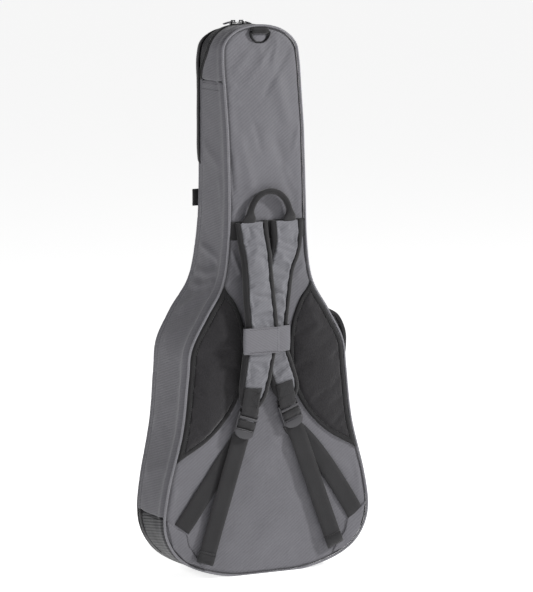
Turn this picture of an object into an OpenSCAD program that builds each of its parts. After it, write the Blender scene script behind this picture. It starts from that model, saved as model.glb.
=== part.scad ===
// Padded gig bag for a full-size flat-top guitar: a padded tub with a zipped lid, two pockets,
// a pair of backpack straps with ladder-lock buckles, grab handles and a hanging ring.
// The back panel with the straps faces -Y, the pockets face +Y, the tail stands on z = 0.

/* [Body] */
// Overall height from the tail to the top of the head
body_h = 1098; // [1096:1:1100]
// Half width of the lower bout
bout_w = 230; // [228:1:232]
// Half width of the neck section
neck_w = 84; // [83:0.5:85]
// Half length of the flat base that the bag stands on
base_w = 58; // [50:1:62]
// Distance from the row's middle plane to the back panel
back_y = 76.4; // [76:0.1:77]

/* [Padding] */
// Thickness of the outer fabric
skin = 2; // [1.5:0.1:2.4]
// Thickness of the foam
foam = 12; // [10:0.5:13]
// Thickness of the lining
lining = 1.5; // [1:0.1:2]
// Thickness of the lid, from the zip to its outer face
lid_t = 16; // [15.5:0.1:17]

/* [Pockets] */
// How far the body pocket stands out from the lid
pocket_t = 24; // [20:1:28]
// How far the head pocket stands out from the lid
head_pocket_t = 12; // [10:1:14]

/* [Harness] */
// Thickness of a padded shoulder strap
strap_t = 14; // [12:0.5:14]
// Width of the binding sewn round a strap
binding_w = 11; // [9:0.5:13]
// Width of all the webbing
web_w = 38; // [36:1:40]
// Thickness of the webbing
web_t = 2; // [1.6:0.1:2.2]
// Side of the square ladder-lock buckles
lock_s = 48; // [46:1:50]

/* [Hidden] */
gap = 1;                 // open seam between the tub and the lid, filled by the zip
tape = 6;                // depth of the zip tape on each side of the seam
reach = 400;             // longer than half of anything across
past = 9;                // how far a cutting solid runs past what it cuts

grey = [0.45, 0.45, 0.47];
pale = [0.55, 0.55, 0.57];
black = [0.13, 0.13, 0.14];
dark = [0.3, 0.3, 0.31];
strap_grey = [0.5, 0.5, 0.52];
inner = [0.62, 0.6, 0.58];

// ---- curves -----------------------------------------------------------------------------

// One point of a smooth curve between b and c, with a and d as its neighbours
function blend(a, b, c, d, t) = 0.5 * (2 * b + (c - a) * t + (2 * a - 5 * b + 4 * c - d) * t * t
    + (3 * b - a - 3 * c + d) * t * t * t);

// Smooth curve through the points, without the first and the last, n steps to each span
function curve(p, n) = concat(
    [for (i = [1:len(p) - 3]) for (k = [0:n - 1]) blend(p[i - 1], p[i], p[i + 1], p[i + 2], k / n)],
    [p[len(p) - 2]]);

function mirrored(p) = [for (q = p) [-q[0], q[1]]];
function reversed(p) = [for (i = [len(p) - 1:-1:0]) p[i]];

// Closed polygon moved inwards by d (it runs anticlockwise)
function inset(p, d) = [for (i = [0:len(p) - 1]) let (
    a = p[(i + len(p) - 1) % len(p)], b = p[(i + 1) % len(p)], t = (b - a) / norm(b - a))
    p[i] + d * [-t[1], t[0]]];

// Straight-line value of a list of [z, y] pairs at z
function at(list, z) = lookup(z, list);

// Right half of the outline, from the base to the head
half_outline = curve([
    [0, 0], [base_w, 0], [120, 10], [178, 32], [214, 66], [bout_w, 116], [220, 190], [191, 300],
    [178, 405], [170, 466], [136, 528], [101, 586], [88, 655], [neck_w, 760], [neck_w, 940],
    [neck_w, 1032], [77, 1066], [46, 1090], [0, body_h], [-46, 1090]], 3);
outline = concat(half_outline, reversed(mirrored([for (i = [0:len(half_outline) - 2])
    half_outline[i]])));

// Outer face of the back panel: the head leans forward
back_line = [[-10, 0], [740, 0], [820, 3], [900, 9], [960, 18], [1026, 27.5], [1110, 38]];
// Depth of the seam between the tub and the lid, measured from the back panel's plane
seam_line = [[-10, 92], [0, 94], [40, 104], [110, 116], [180, 124], [285, 139], [400, 147],
    [530, 152], [570, 146], [640, 139], [725, 129], [800, 127], [990, 127], [1009, 123],
    [1026, 112], [1043, 100], [1059, 94], [1075, 97], [1085, 101], [1110, 108]];
// Depth of the lid's outer face
front_line = [[-10, 0], [0, 2], [40, 2], [990, 0], [1026, 2], [1110, -8]];

function back_at(z) = at(back_line, z) - back_y;
function seam_at(z) = at(seam_line, z) - back_y;
head_front = 127;        // depth that the lid keeps above its last straight stretch
function front_at(z) = (z < 990 ? at(seam_line, z) : head_front) + at(front_line, z) + lid_t - back_y;

stations = [-10, 20, 40, 75, 110, 145, 180, 230, 285, 340, 400, 465, 530, 570, 605, 640, 680, 725,
    770, 820, 860, 900, 960, 990, 1009, 1026, 1043, 1059, 1075, 1085, 1110];

// ---- solids -----------------------------------------------------------------------------

// Prism of an x-z polygon, from y0 to y1
module along_y(p, y0 = -reach, y1 = reach) translate([0, y1, 0]) rotate([90, 0, 0])
    linear_extrude(y1 - y0) polygon(p);

// Prism of a y-z polygon, from x0 to x1
module along_x(p, x0 = -reach, x1 = reach) translate([x0, 0, 0]) rotate([90, 0, 90])
    linear_extrude(x1 - x0) polygon(p);

// Layer between two y-z lines given as lists of [y, z]
module layer(low, high, x0 = -reach, x1 = reach) along_x(concat(low, reversed(high)), x0, x1);

function back_layer(d) = [for (z = stations) [back_at(z) + d, z]];
function seam_layer(d) = [for (z = stations) [seam_at(z) + d, z]];
function front_layer(d) = [for (z = stations) [front_at(z) - d, z]];

module plate(d, low, high) intersection() {
    along_y(inset(outline, d));
    layer(low, high);
}

module ring(d0, d1, low, high) difference() {
    plate(d0, low, high);
    along_y(inset(outline, d1));
}

// Box given by its low and high corners
module block(lo, hi) translate(lo) cube(hi - lo);

// One edge of a path: each point moved sideways by its half width h, s = 1 or -1 for the side
function side(p, h, s) = [for (i = [0:len(p) - 1]) let (
    t = p[min(i + 1, len(p) - 1)] - p[max(i - 1, 0)], n = [-t[1], t[0]] / norm(t))
    p[i] + s * h[i] * n];

// Closed strip of even width w along a path
function ribbon(p, w) = let (h = [for (q = p) w / 2]) concat(side(p, h, 1), reversed(side(p, h, -1)));

// ---- tub --------------------------------------------------------------------------------

seam_z = 988;            // cross seam near the head
guard_z = 127;           // top edge of the tail guard

module back_panel() color(grey) plate(0, back_layer(0), back_layer(skin));

module back_foam() color(pale) plate(skin, back_layer(skin), back_layer(skin + foam));

module gusset_skin() ring(0, skin, back_layer(skin), seam_layer(-tape));

module gusset_left() color(grey) intersection() {
    gusset_skin();
    block([-reach, -reach, guard_z], [0, reach, seam_z]);
}

module gusset_right() color(grey) intersection() {
    gusset_skin();
    block([0, -reach, guard_z], [reach, reach, seam_z]);
}

module gusset_head() color(grey) intersection() {
    gusset_skin();
    block([-reach, -reach, seam_z], [reach, reach, body_h + past]);
}

module tail_guard() color(dark) intersection() {
    gusset_skin();
    block([-reach, -reach, -past], [reach, reach, guard_z]);
}

module gusset_foam() color(pale) ring(skin, skin + foam, back_layer(skin + foam), seam_layer(0));

module tub_lining() color(inner) difference() {
    plate(skin + foam, back_layer(skin + foam), seam_layer(0));
    plate(skin + foam + lining, back_layer(skin + foam + lining), seam_layer(50));
}

// Piping stands proud of the outline all round, but not under the base
module piping(low, high) intersection() {
    ring(-2, 0, low, high);
    block([-reach, -reach, 0], [reach, reach, body_h + past]);
}

module rear_piping() color(pale) piping(back_layer(-1), back_layer(3));

// The zip runs from the head's left seam over the head, down the right side and round the tail
module zip_side() difference() {
    block([-reach, -reach, -past], [reach, reach, body_h + past]);
    block([-reach, -reach, guard_z], [0, reach, seam_z]);
}

module zip_tape_tub() color(black) intersection() {
    ring(0, skin, seam_layer(-tape), seam_layer(0));
    zip_side();
}

module spine_fold() color(grey) difference() {
    ring(0, skin, seam_layer(-tape), seam_layer(gap + tape));
    zip_side();
}

// ---- back pads --------------------------------------------------------------------------

pad_edge = 7;            // margin between a pad and the piping
pad_t = 8;
pad_border = 10;
pad_face = back_y + pad_t;
// Inner edge of the right pad, from its top corner down to its bottom corner
pad_arc = curve([[100, 620], [96, 580], [72, 550], [55, 505], [49, 450], [56, 388], [83, 332],
    [132, 281], [208, 236], [260, 190]], 4);

// A pad's outline is cut from the back panel by its inner arc
module pad_prism(d, y0, y1) intersection() {
    along_y(inset(outline, pad_edge + d), y0, y1);
    along_y(inset(concat(pad_arc, [[290, 250], [290, 600], [110, 600]]), d), y0, y1);
}

module back_pad_right() color(black) pad_prism(pad_border, -pad_face, -back_y);

module pad_binding_right() color(black) difference() {
    pad_prism(0, 3 - pad_face, -back_y);
    pad_prism(pad_border, -reach, reach);
}

module back_pad_left() mirror([1, 0, 0]) back_pad_right();
module pad_binding_left() mirror([1, 0, 0]) pad_binding_right();

// ---- trim on the back panel -------------------------------------------------------------

band_z = [677, 714];     // webbing band across the neck

module strap_band() color(black)
    block([1 - neck_w, -back_y - web_t, band_z[0]], [neck_w - 1, -back_y, band_z[1]]);

patch = [[226, 126], [211, 113], [185, 96], [179, 70], [157, 42], [150, 27], [182, 37], [212, 69]];

module corner_patches() color(grey) for (s = [0, 1]) mirror([s, 0, 0]) intersection() {
    along_y(reversed(patch), -back_y - 1.2, -back_y);
    along_y(inset(outline, 1));
}

// Webbing from each buckle down to its corner patch: it passes behind the buckle
anchor_y = [-back_y - 3.4 - web_t, -back_y - 3.4];

module anchor_webbing(path) color(black) along_y(ribbon(path, web_w), anchor_y[0], anchor_y[1]);
module anchor_webbing_left() anchor_webbing([[-190, 110], [-108, 222], [-64, 278]]);
module anchor_webbing_right() anchor_webbing([[204, 101], [150, 204], [58, 292]]);

// ---- hanging ring -----------------------------------------------------------------------

ring_z = 1086;           // axis that the hanging ring swings on
ring_y = back_at(ring_z) - 4.4;
wire_r = 2.2;
ring_r = 19.5;

module d_ring_tab() color(black) difference() {
    along_x([[back_at(ring_z - 4) - 8, ring_z - 4], [back_at(ring_z - 4), ring_z - 4],
        [back_at(ring_z + 10), ring_z + 10], [back_at(ring_z + 10) - 2, ring_z + 10],
        [back_at(ring_z + 4) - 8, ring_z + 4]], 1.2 - ring_r, ring_r - 1.2);
    translate([-reach, ring_y, ring_z]) rotate([0, 90, 0]) cylinder(h = 2 * reach, r = wire_r + 0.4);
}

module d_ring() color(black) translate([0, ring_y, ring_z]) {
    translate([-ring_r - wire_r, 0, 0]) rotate([0, 90, 0])
        cylinder(h = 2 * (ring_r + wire_r), r = wire_r);
    rotate([-4, 0, 0]) rotate([90, 0, 0]) intersection() {
        rotate_extrude() translate([ring_r + wire_r, 0]) circle(r = wire_r);
        block([-reach, -reach, -reach], [reach, 0, reach]);
    }
}

// ---- inside -----------------------------------------------------------------------------

module neck_cradle() color(inner) difference() {
    block([-66, -50, 700], [66, 20, 760]);
    translate([0, 20, 690]) cylinder(h = 80, r = 34);
}

module tail_pad() color(inner) block([-60, -40, 17], [60, 16, 32]);

// ---- lid --------------------------------------------------------------------------------

module lid_panel() color(grey) plate(0, front_layer(skin), front_layer(0));

module lid_foam() color(pale) difference() {
    plate(skin, seam_layer(gap), front_layer(skin));
    plate(skin + foam, seam_layer(-reach / 2), front_layer(skin + foam));
}

module lid_band() color(black) ring(0, skin, seam_layer(gap + tape), front_layer(skin));

module lid_lining() color(inner) difference() {
    plate(skin + foam + lining + 1, seam_layer(gap), front_layer(skin + foam));
    plate(skin + foam + 2 * lining + 1, seam_layer(-reach / 2), front_layer(skin + foam + lining));
}

module front_piping() color(black) piping(front_layer(3), front_layer(-1));

module zip_tape_lid() color(black) intersection() {
    ring(0, skin, seam_layer(gap), seam_layer(gap + tape));
    zip_side();
}

// ---- pockets ----------------------------------------------------------------------------

pocket_skin = 2.5;
head_z = 812;            // lower edge of the head pocket
// Right half of the body pocket's outline
half_pocket = curve([[40, 90], [90, 92], [140, 102], [172, 134], [178, 180], [160, 250], [148, 320],
    [140, 400], [132, 448], [110, 468], [60, 472], [0, 472]], 3);
pocket_outline = concat(half_pocket, reversed(mirrored(half_pocket)));

module head_pocket_form(d, y) intersection() {
    plate(3 + d, front_layer(0), front_layer(-y));
    block([-reach, -reach, head_z + d], [reach, reach, reach * 3]);
}

module head_pocket() color(black) difference() {
    head_pocket_form(0, head_pocket_t);
    head_pocket_form(pocket_skin, head_pocket_t - pocket_skin);
    head_pocket_zip_form(0.3);
}

// Straight zip near the right edge of the head pocket
head_zip_x = 60;
head_zip_z = [850, 984];
module head_pocket_zip_form(s) intersection() {
    layer(front_layer(s - head_pocket_t + 1.5), front_layer(-head_pocket_t - 5));
    block([head_zip_x - 8 - s, -reach, head_zip_z[0] - s], [head_zip_x + 8 + s, reach, head_zip_z[1] + s]);
}

module head_pocket_zip() color(black) intersection() {
    head_pocket_zip_form(0);
    layer(front_layer(reach / 4), front_layer(0.1 - head_pocket_t));
}

module body_pocket_form(d, y0, y1) intersection() {
    along_y(inset(pocket_outline, d));
    layer(front_layer(-y0), front_layer(-y1));
}

module body_pocket_wall() color(black) difference() {
    body_pocket_form(0, 0, pocket_t - 8);
    body_pocket_form(pocket_skin, -1, pocket_t);
}

// The front of the body pocket unzips round three sides and folds down
module body_pocket_front() color(grey) difference() {
    body_pocket_form(0, pocket_t - 7.4, pocket_t);
    body_pocket_form(pocket_skin, -1, pocket_t - pocket_skin);
}

// ---- harness ----------------------------------------------------------------------------

// Middle of each strap as [x, z], from the band down, and its half width
left_path = [[-42, 699], [-39, 670], [-36, 650], [-33, 617], [-27, 556], [-20, 505], [-28, 474],
    [-37, 450], [-43, 400], [-47, 368], [-50, 343]];
left_half = [36, 33.5, 32, 31, 32, 32, 31.5, 31, 30, 27, 17];
right_path = [[40, 699], [35.5, 670], [30, 650], [18, 617], [11, 556], [7, 505], [7, 474], [10, 450],
    [26, 400], [34, 374], [40, 354]];
right_half = [36, 33.5, 32, 31, 31, 31, 31, 30.5, 29.5, 26, 17];

// Outline of a strap, each side d inside its edge
function shrink(h, d) = [for (v = h) max(v - d, 3)];
function strap_outline(p, h, d) = let (
    ends = [for (i = [0:len(p) - 1]) p[i] + (i == 0 ? [0, -d] : i == len(p) - 1 ? [0, d] : [0, 0])])
    concat(side(ends, shrink(h, d), 1), reversed(side(ends, shrink(h, d), -1)));

// Inner face of each strap, as its stand-off from the back panel at z
left_off = [[300, 12], [360, 15], [400, 20], [505, 20.5], [600, 19.8], [642, 19.5], [672, 10],
    [700, 5], [720, 5]];
right_off = [[300, 5.5], [505, 5.5], [630, 4.7], [680, 5], [720, 5]];
strap_stations = [300, 360, 400, 450, 505, 556, 600, 642, 672, 690, 720];
// Straps are sewn thin at the top
function thin_at(z) = at([[0, 1], [672, 1], [690, 0.65], [720, 0.5]], z);
function strap_layer(off, d) = [for (z = strap_stations) [-back_y - at(off, z) - d * thin_at(z), z]];

module strap(path, half, off, d, t0, t1) intersection() {
    along_y(strap_outline(path, half, d));
    layer(strap_layer(off, t1), strap_layer(off, t0));
}

module strap_left() color(strap_grey) strap(left_path, left_half, left_off, binding_w, 0, strap_t);
module strap_right() color(strap_grey) strap(right_path, right_half, right_off, binding_w, 0, strap_t);

module strap_binding_left() color(black) difference() {
    strap(left_path, left_half, left_off, 0, 1.5, strap_t - 1.5);
    strap(left_path, left_half, left_off, binding_w, -past, strap_t + past);
}

module strap_binding_right() color(black) difference() {
    strap(right_path, right_half, right_off, 0, 1.5, strap_t - 1.5);
    strap(right_path, right_half, right_off, binding_w, -past, strap_t + past);
}

// Hook-and-loop wrap that holds the two straps together
keeper_x = [-71.5, 44];
keeper_z = [452, 504];
keeper_out = 36.4;       // stand-off of its outer face
keeper_in = 2.4;         // stand-off of its inner face
pad_step = 9;            // stand-off where it passes over the left back pad
keeper_t = 1.6;
flap_x = 6;

// The wrap's cross-section in x-y, d inside its outer face: it steps over the left back pad
function keeper_form(d) = [[keeper_x[0] + d, d - keeper_out], [keeper_x[1] - d, d - keeper_out],
    [keeper_x[1] - d, -keeper_in - d], [-38 - d, -keeper_in - d], [-45 - d / 2, -pad_step - d],
    [keeper_x[0] + d, -pad_step - d]];

module strap_keeper() color(strap_grey) translate([0, -back_y, keeper_z[0]]) difference() {
    linear_extrude(keeper_z[1] - keeper_z[0]) polygon(keeper_form(0));
    translate([0, 0, -1]) linear_extrude(reach) polygon(keeper_form(keeper_t));
}

module keeper_flap() color(strap_grey)
    block([keeper_x[0], -back_y - keeper_out - 2, keeper_z[0]],
        [flap_x, -back_y - keeper_out - 0.4, keeper_z[1]]);

// ---- buckles ----------------------------------------------------------------------------

// Places its children in a buckle's own frame: x across, z up the strap, y = 0 at its middle
module at_lock(left) {
    pos = left ? [-51.5, -back_y - 15, 326] : [41, -back_y - 10, 340];
    translate(pos) rotate([0, left ? 18 : -20.5, 0]) children();
}

bar_z = 2.5;             // axis of the buckle's round top bar
module ladder_lock() color(black) {
    difference() {
        block([-lock_s / 2, -3.5, -lock_s + 5], [lock_s / 2, 3.5, 5]);
        block([-web_w / 2 - 0.5, -past, -14], [web_w / 2 + 0.5, past, past]);
        block([-web_w / 2 - 0.5, -past, -36], [web_w / 2 + 0.5, past, -20]);
    }
    translate([-lock_s / 2 + 1, 0, bar_z]) rotate([0, 90, 0]) cylinder(h = lock_s - 2, r = 2.3);
}

module ladder_lock_left() at_lock(true) ladder_lock();
module ladder_lock_right() at_lock(false) ladder_lock();

// Webbing loop that holds the buckle's top bar, sewn to the end of the strap
module strap_tab() color(black) {
    block([-web_w / 2, -5.8, -3.6], [web_w / 2, -3.8, 50]);
    block([-web_w / 2, 3.8, -3.6], [web_w / 2, 5.4, 8]);
    block([-web_w / 2, -5.8, -3.6], [web_w / 2, 5.4, -1.8]);
    block([-web_w / 2, -5.8, 6.2], [web_w / 2, 5.4, 8]);
}

module strap_tabs() {
    difference() {
        at_lock(true) strap_tab();
        strap(left_path, left_half, left_off, 0, 0, strap_t);
    }
    difference() {
        at_lock(false) strap_tab();
        strap(right_path, right_half, right_off, 0, 0, strap_t);
    }
}

// Loose end of the webbing: it comes out over the buckle's lower bar and hangs
module tail_webbing(z_end, y1) color(black) {
    block([-web_w / 2, -6.1, -46], [web_w / 2, -4.1, -26]);
    along_x([[-6.1, -46], [-4.1, -46], [y1, -72], [y1 - web_t, -72]], -web_w / 2, web_w / 2);
    block([-web_w / 2, y1 - web_t, z_end], [web_w / 2, y1, -72]);
}

module tail_webbing_left() at_lock(true) tail_webbing(-308, 5.5);
module tail_webbing_right() at_lock(false) tail_webbing(-316, 0.5);

// ---- handles ----------------------------------------------------------------------------

// Half ellipse in the x-z plane: half width w, height h, n steps
function arch(w, h, n) = [for (k = [0:n]) let (a = 180 * k / n) [w * cos(a), h * sin(a)]];

handle_z = 716;          // axis that the neck handle swings on
handle_y = -back_y - 8;  // inner face of its rolled grip
handle_t = 10;
module neck_handle() color(black) intersection() {
    difference() {
        along_y([for (p = arch(51, 63, 20)) p + [0, handle_z]], handle_y - handle_t, handle_y);
        along_y([for (p = arch(38, 51, 20)) p + [0, handle_z]]);
    }
    block([-reach, -reach, handle_z + 0.4], [reach, reach, 2 * reach]);
}

// Flat ends of the neck handle, sewn to the band
module neck_handle_ends() color(black) for (s = [-1, 1])
    block([s * 46 - 14, handle_y + 0.6, 706], [s * 46 + 14, -back_y - web_t, 722]);

// Carry handle on the right side: two sewn ends and the loop that bulges out between them
side_y = [-37, -1];
side_t = 4.5;
side_top = [[118.5, 563], [136.5, 534.5], [150, 526], [160, 520.3]];
side_loop = [[164, 518.5], [186, 502], [200, 472], [201, 440], [196.3, 410.5]];
side_low = [[195.4, 405.5], [191.5, 385], [189, 368], [188, 344]];
module side_handle_ends() color(black) {
    along_y(ribbon(side_top, side_t), side_y[0], side_y[1]);
    along_y(ribbon(side_low, side_t), side_y[0], side_y[1]);
}
module side_handle() color(black) along_y(ribbon(side_loop, side_t), side_y[0], side_y[1]);

// Grab handle on the front of the neck: a loop of webbing between two sewn-on bases
front_z = [733, 767];
front_y = front_at(750);
front_base_t = 10;
module front_handle_base() color(black) for (s = [-1, 1])
    block([s * 75.5 - 12.5, front_y + 1.6, front_z[0]],
        [s * 75.5 + 12.5, front_y + front_base_t, front_z[1]]);
module front_handle() color(black) translate([0, front_y, front_z[0]])
    linear_extrude(front_z[1] - front_z[0]) polygon([[-62, 7], [-40, 14], [0, 18], [40, 14], [62, 7],
        [62, 11], [41, 18.5], [0, 22], [-41, 18.5], [-62, 11]]);

// ---- zips -------------------------------------------------------------------------------

top_seam_y = seam_at(body_h);
slider_z = body_h + 1.5;

module slider(x) color(black) translate([x, top_seam_y + gap / 2, slider_z])
    difference() {
        block([-7, -5, 0], [7, 5, 5]);
        block([-4, -past, 1.6], [4, past, 3]);
    }
module pull(x, s) color(black) translate([x, top_seam_y + gap / 2, slider_z + 6.8]) mirror([s, 0, 0])
    block([-1, -4, -1], [22, 4, 1]);

module zip_slider_left() slider(-34);
module zip_slider_right() slider(-16);
module zip_pull_left() pull(-34, 1);
module zip_pull_right() pull(-16, 0);

head_slider_z = head_zip_z[0] + 10;
module head_zip_slider() color(black)
    translate([head_zip_x, front_at(head_slider_z) + head_pocket_t + 0.6, head_slider_z])
    block([-5, 0, -7], [5, 5, 7]);
module head_zip_pull() color(black)
    translate([head_zip_x, front_at(head_slider_z) + head_pocket_t + 7.6, head_slider_z])
    block([-4, -1, -24], [4, 1, 1]);

pocket_slider_x = -60;
pocket_slider_z = 472.6;
pocket_slider_y = front_at(472) + pocket_t - 7.7;
module pocket_zip_slider() color(black)
    translate([pocket_slider_x, pocket_slider_y, pocket_slider_z]) block([-7, -5, 0], [7, 5, 5]);
module pocket_zip_pull() color(black)
    translate([pocket_slider_x, pocket_slider_y, pocket_slider_z + 6.8]) block([-1, -4, -1], [22, 4, 1]);

// ---- draw -------------------------------------------------------------------------------

back_panel();
back_foam();
gusset_left();
gusset_right();
gusset_head();
gusset_foam();
tub_lining();
tail_guard();
rear_piping();
zip_tape_tub();
spine_fold();
back_pad_left();
back_pad_right();
pad_binding_left();
pad_binding_right();
strap_band();
d_ring_tab();
corner_patches();
anchor_webbing_left();
anchor_webbing_right();
neck_cradle();
tail_pad();
side_handle_ends();
neck_handle_ends();
lid_panel();
lid_foam();
lid_band();
lid_lining();
front_piping();
zip_tape_lid();
head_pocket();
head_pocket_zip();
body_pocket_wall();
body_pocket_front();
pocket_zip_slider();
pocket_zip_pull();
strap_left();
strap_right();
strap_binding_left();
strap_binding_right();
strap_tabs();
strap_keeper();
keeper_flap();
ladder_lock_left();
ladder_lock_right();
tail_webbing_left();
tail_webbing_right();
neck_handle();
side_handle();
front_handle_base();
front_handle();
d_ring();
zip_slider_left();
zip_pull_left();
zip_slider_right();
zip_pull_right();
head_zip_slider();
head_zip_pull();
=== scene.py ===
# Padded gig bag for a full-size flat-top guitar: the visual model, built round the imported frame.
# Shapes are worked out in millimetres in the row's frame and turned into metres when a mesh is made.
import bpy
import bmesh
import math
import numpy as np
from mathutils import Matrix, Vector, noise


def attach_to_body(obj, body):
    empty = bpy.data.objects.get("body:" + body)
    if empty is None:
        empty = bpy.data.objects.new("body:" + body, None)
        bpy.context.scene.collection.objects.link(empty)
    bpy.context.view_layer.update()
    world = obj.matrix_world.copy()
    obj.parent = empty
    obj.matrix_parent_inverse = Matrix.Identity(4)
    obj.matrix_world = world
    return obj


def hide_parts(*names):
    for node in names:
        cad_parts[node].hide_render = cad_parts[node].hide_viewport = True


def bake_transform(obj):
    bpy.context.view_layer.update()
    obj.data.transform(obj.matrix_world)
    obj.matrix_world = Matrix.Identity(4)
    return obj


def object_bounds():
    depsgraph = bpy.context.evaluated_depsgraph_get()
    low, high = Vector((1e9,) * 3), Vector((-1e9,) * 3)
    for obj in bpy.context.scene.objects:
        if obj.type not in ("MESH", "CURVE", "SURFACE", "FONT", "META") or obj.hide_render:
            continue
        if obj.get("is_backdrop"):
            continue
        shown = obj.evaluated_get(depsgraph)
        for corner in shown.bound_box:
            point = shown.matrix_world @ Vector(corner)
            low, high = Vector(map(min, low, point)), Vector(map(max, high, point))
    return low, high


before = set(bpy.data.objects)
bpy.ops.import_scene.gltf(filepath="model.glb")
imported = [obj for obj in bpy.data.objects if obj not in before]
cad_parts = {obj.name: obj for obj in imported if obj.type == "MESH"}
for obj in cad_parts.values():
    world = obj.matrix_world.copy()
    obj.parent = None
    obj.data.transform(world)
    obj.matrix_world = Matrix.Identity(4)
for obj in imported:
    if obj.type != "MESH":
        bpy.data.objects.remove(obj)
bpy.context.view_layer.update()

# ---- curves ------------------------------------------------------------------------------


def catmull(p, n):
    """Smooth curve through the points but the first and the last, n steps to each span."""
    p = np.asarray(p, float)
    out = []
    for a, b, c, d in zip(p, p[1:], p[2:], p[3:]):
        for k in range(n):
            t = k / n
            out.append(0.5 * (2 * b + (c - a) * t + (2 * a - 5 * b + 4 * c - d) * t * t
                              + (3 * b - a - 3 * c + d) * t ** 3))
    out.append(p[-2])
    return np.array(out)


def through(p, n):
    """Smooth curve through all the points."""
    p = np.asarray(p, float)
    return catmull([2 * p[0] - p[1], *p, 2 * p[-1] - p[-2]], n)


def lengths(p):
    """Way along a line at each of its points."""
    return np.concatenate([[0], np.cumsum(np.linalg.norm(np.diff(p, axis=0), axis=1))])


def resample(p, step):
    s = lengths(p)
    t = np.linspace(0, s[-1], max(2, int(round(s[-1] / step))) + 1)
    return np.stack([np.interp(t, s, p[:, k]) for k in range(p.shape[1])], 1)


class Loop:
    """Closed outline in the x-z plane, running anticlockwise, known by the way s along it."""

    def __init__(self, p):
        p = np.asarray(p, float)
        self.p = np.vstack([p, p[:1]])
        self.s = lengths(self.p)
        self.total = self.s[-1]

    def place(self, s):
        s = np.mod(s, self.total)
        return np.stack([np.interp(s, self.s, self.p[:, k]) for k in (0, 1)], 1)

    def at(self, s):
        """Points and outward directions."""
        s = np.atleast_1d(np.asarray(s, float))
        t = self.place(s + 4) - self.place(s - 4)
        t /= np.linalg.norm(t, axis=1)[:, None]
        return self.place(s), np.stack([t[:, 1], -t[:, 0]], 1)

    def even(self, n):
        """The ways of n points all round, then the points and their outward directions."""
        s = np.linspace(0, self.total, n, endpoint=False)
        return (s, *self.at(s))


def mirrored(half):
    """Outline from its right half, which starts on x = 0."""
    return Loop(np.vstack([half, (half[1:-1] * [-1, 1])[::-1]]))


outline = mirrored(np.vstack([[[0, 0]], catmull([
    [0, 0], [58, 0], [120, 10], [178, 32], [214, 66], [230, 116], [220, 190], [191, 300],
    [178, 405], [170, 466], [136, 528], [101, 586], [88, 655], [84, 760], [84, 940],
    [84, 1032], [77, 1066], [46, 1090], [0, 1098], [-46, 1090]], 8)]))


def way_at(z, side, loop=outline):
    """Way along the outline at height z, on the side with that sign of x."""
    half = loop.s <= loop.total / 2
    s = np.interp(z, loop.p[half][:, 1], loop.s[half])
    return s if side > 0 else loop.total - s


def smooth_line(table, less=0.0, spread=12):
    """y as a smooth function of z, from a table of both."""
    t = np.array(table, float)

    def value(z):
        z = np.asarray(z, float)
        return np.mean([np.interp(z + o, t[:, 0], t[:, 1]) for o in np.linspace(-spread, spread, 7)],
                       axis=0) - less
    return value


# the tub's back plane, and three lines down the side: its back edge, the zip and the lid's front edge
BACK = 76.4
back_at = smooth_line([[-10, 0], [740, 0], [820, 3], [900, 9], [960, 18], [1026, 27.5], [1110, 38]], BACK)
seam_table = [[-10, 92], [0, 94], [40, 104], [110, 116], [180, 124], [285, 139], [400, 147],
              [530, 152], [570, 146], [640, 139], [725, 129], [800, 127], [990, 127], [1009, 123],
              [1026, 112], [1043, 100], [1059, 94], [1075, 97], [1085, 101], [1110, 108]]
seam_at = smooth_line(seam_table, BACK, 7)
front_at = smooth_line([[z, y + 17] for z, y in seam_table[:12]] + [[990, 143], [1026, 145], [1110, 135]],
                       BACK)

# ---- meshes ------------------------------------------------------------------------------


def xyz(x, y, z):
    """Points from their coordinates, which are arrays or single numbers."""
    return np.stack(np.broadcast_arrays(*(np.asarray(v, float) for v in (x, y, z))), -1)


def wave(p, size, seed=0.0):
    """Smooth noise at the points, about -1 to 1, with features of that size in mm."""
    size = np.broadcast_to(np.asarray(size, float), (3,))
    shift = Vector((seed * 7.3, seed * 3.1, seed * 5.7))
    flat = np.asarray(p, float).reshape(-1, 3) / size
    out = np.array([noise.noise(Vector(q) + shift) for q in flat])
    return out.reshape(np.asarray(p).shape[:-1])


def coil(s):
    """Where the noise is read for a way s round the outline."""
    return xyz(np.cos(s / 160) * 160, np.sin(s / 160) * 160, s * 0.35)


def link(name, data):
    ob = bpy.data.objects.new(name, data)
    bpy.context.scene.collection.objects.link(ob)
    return ob


def make(name, verts, faces, mats, which=None, merge=0.0):
    """Mesh object from points in mm."""
    me = bpy.data.meshes.new(name)
    me.from_pydata((np.asarray(verts, float).reshape(-1, 3) * 0.001).tolist(), [],
                   [list(map(int, f)) for f in faces])
    for m in mats if isinstance(mats, (list, tuple)) else [mats]:
        me.materials.append(m)
    if which is not None:
        me.polygons.foreach_set("material_index", np.asarray(which, np.int32))
    bm = bmesh.new()
    bm.from_mesh(me)
    if merge:
        bmesh.ops.remove_doubles(bm, verts=bm.verts, dist=merge * 0.001)
    bmesh.ops.dissolve_degenerate(bm, dist=1e-6, edges=bm.edges)
    bmesh.ops.recalc_face_normals(bm, faces=bm.faces)
    for f in bm.faces:
        f.smooth = True
    bm.to_mesh(me)
    bm.free()
    return link(name, me)


def grid_faces(n, m, closed=False):
    """Faces between n rows of m points; each row is closed, and the rows too where closed is true."""
    return [(i * m + j, i * m + (j + 1) % m, (i + 1) % n * m + (j + 1) % m, (i + 1) % n * m + j)
            for i in range(n if closed else n - 1) for j in range(m)]


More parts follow.
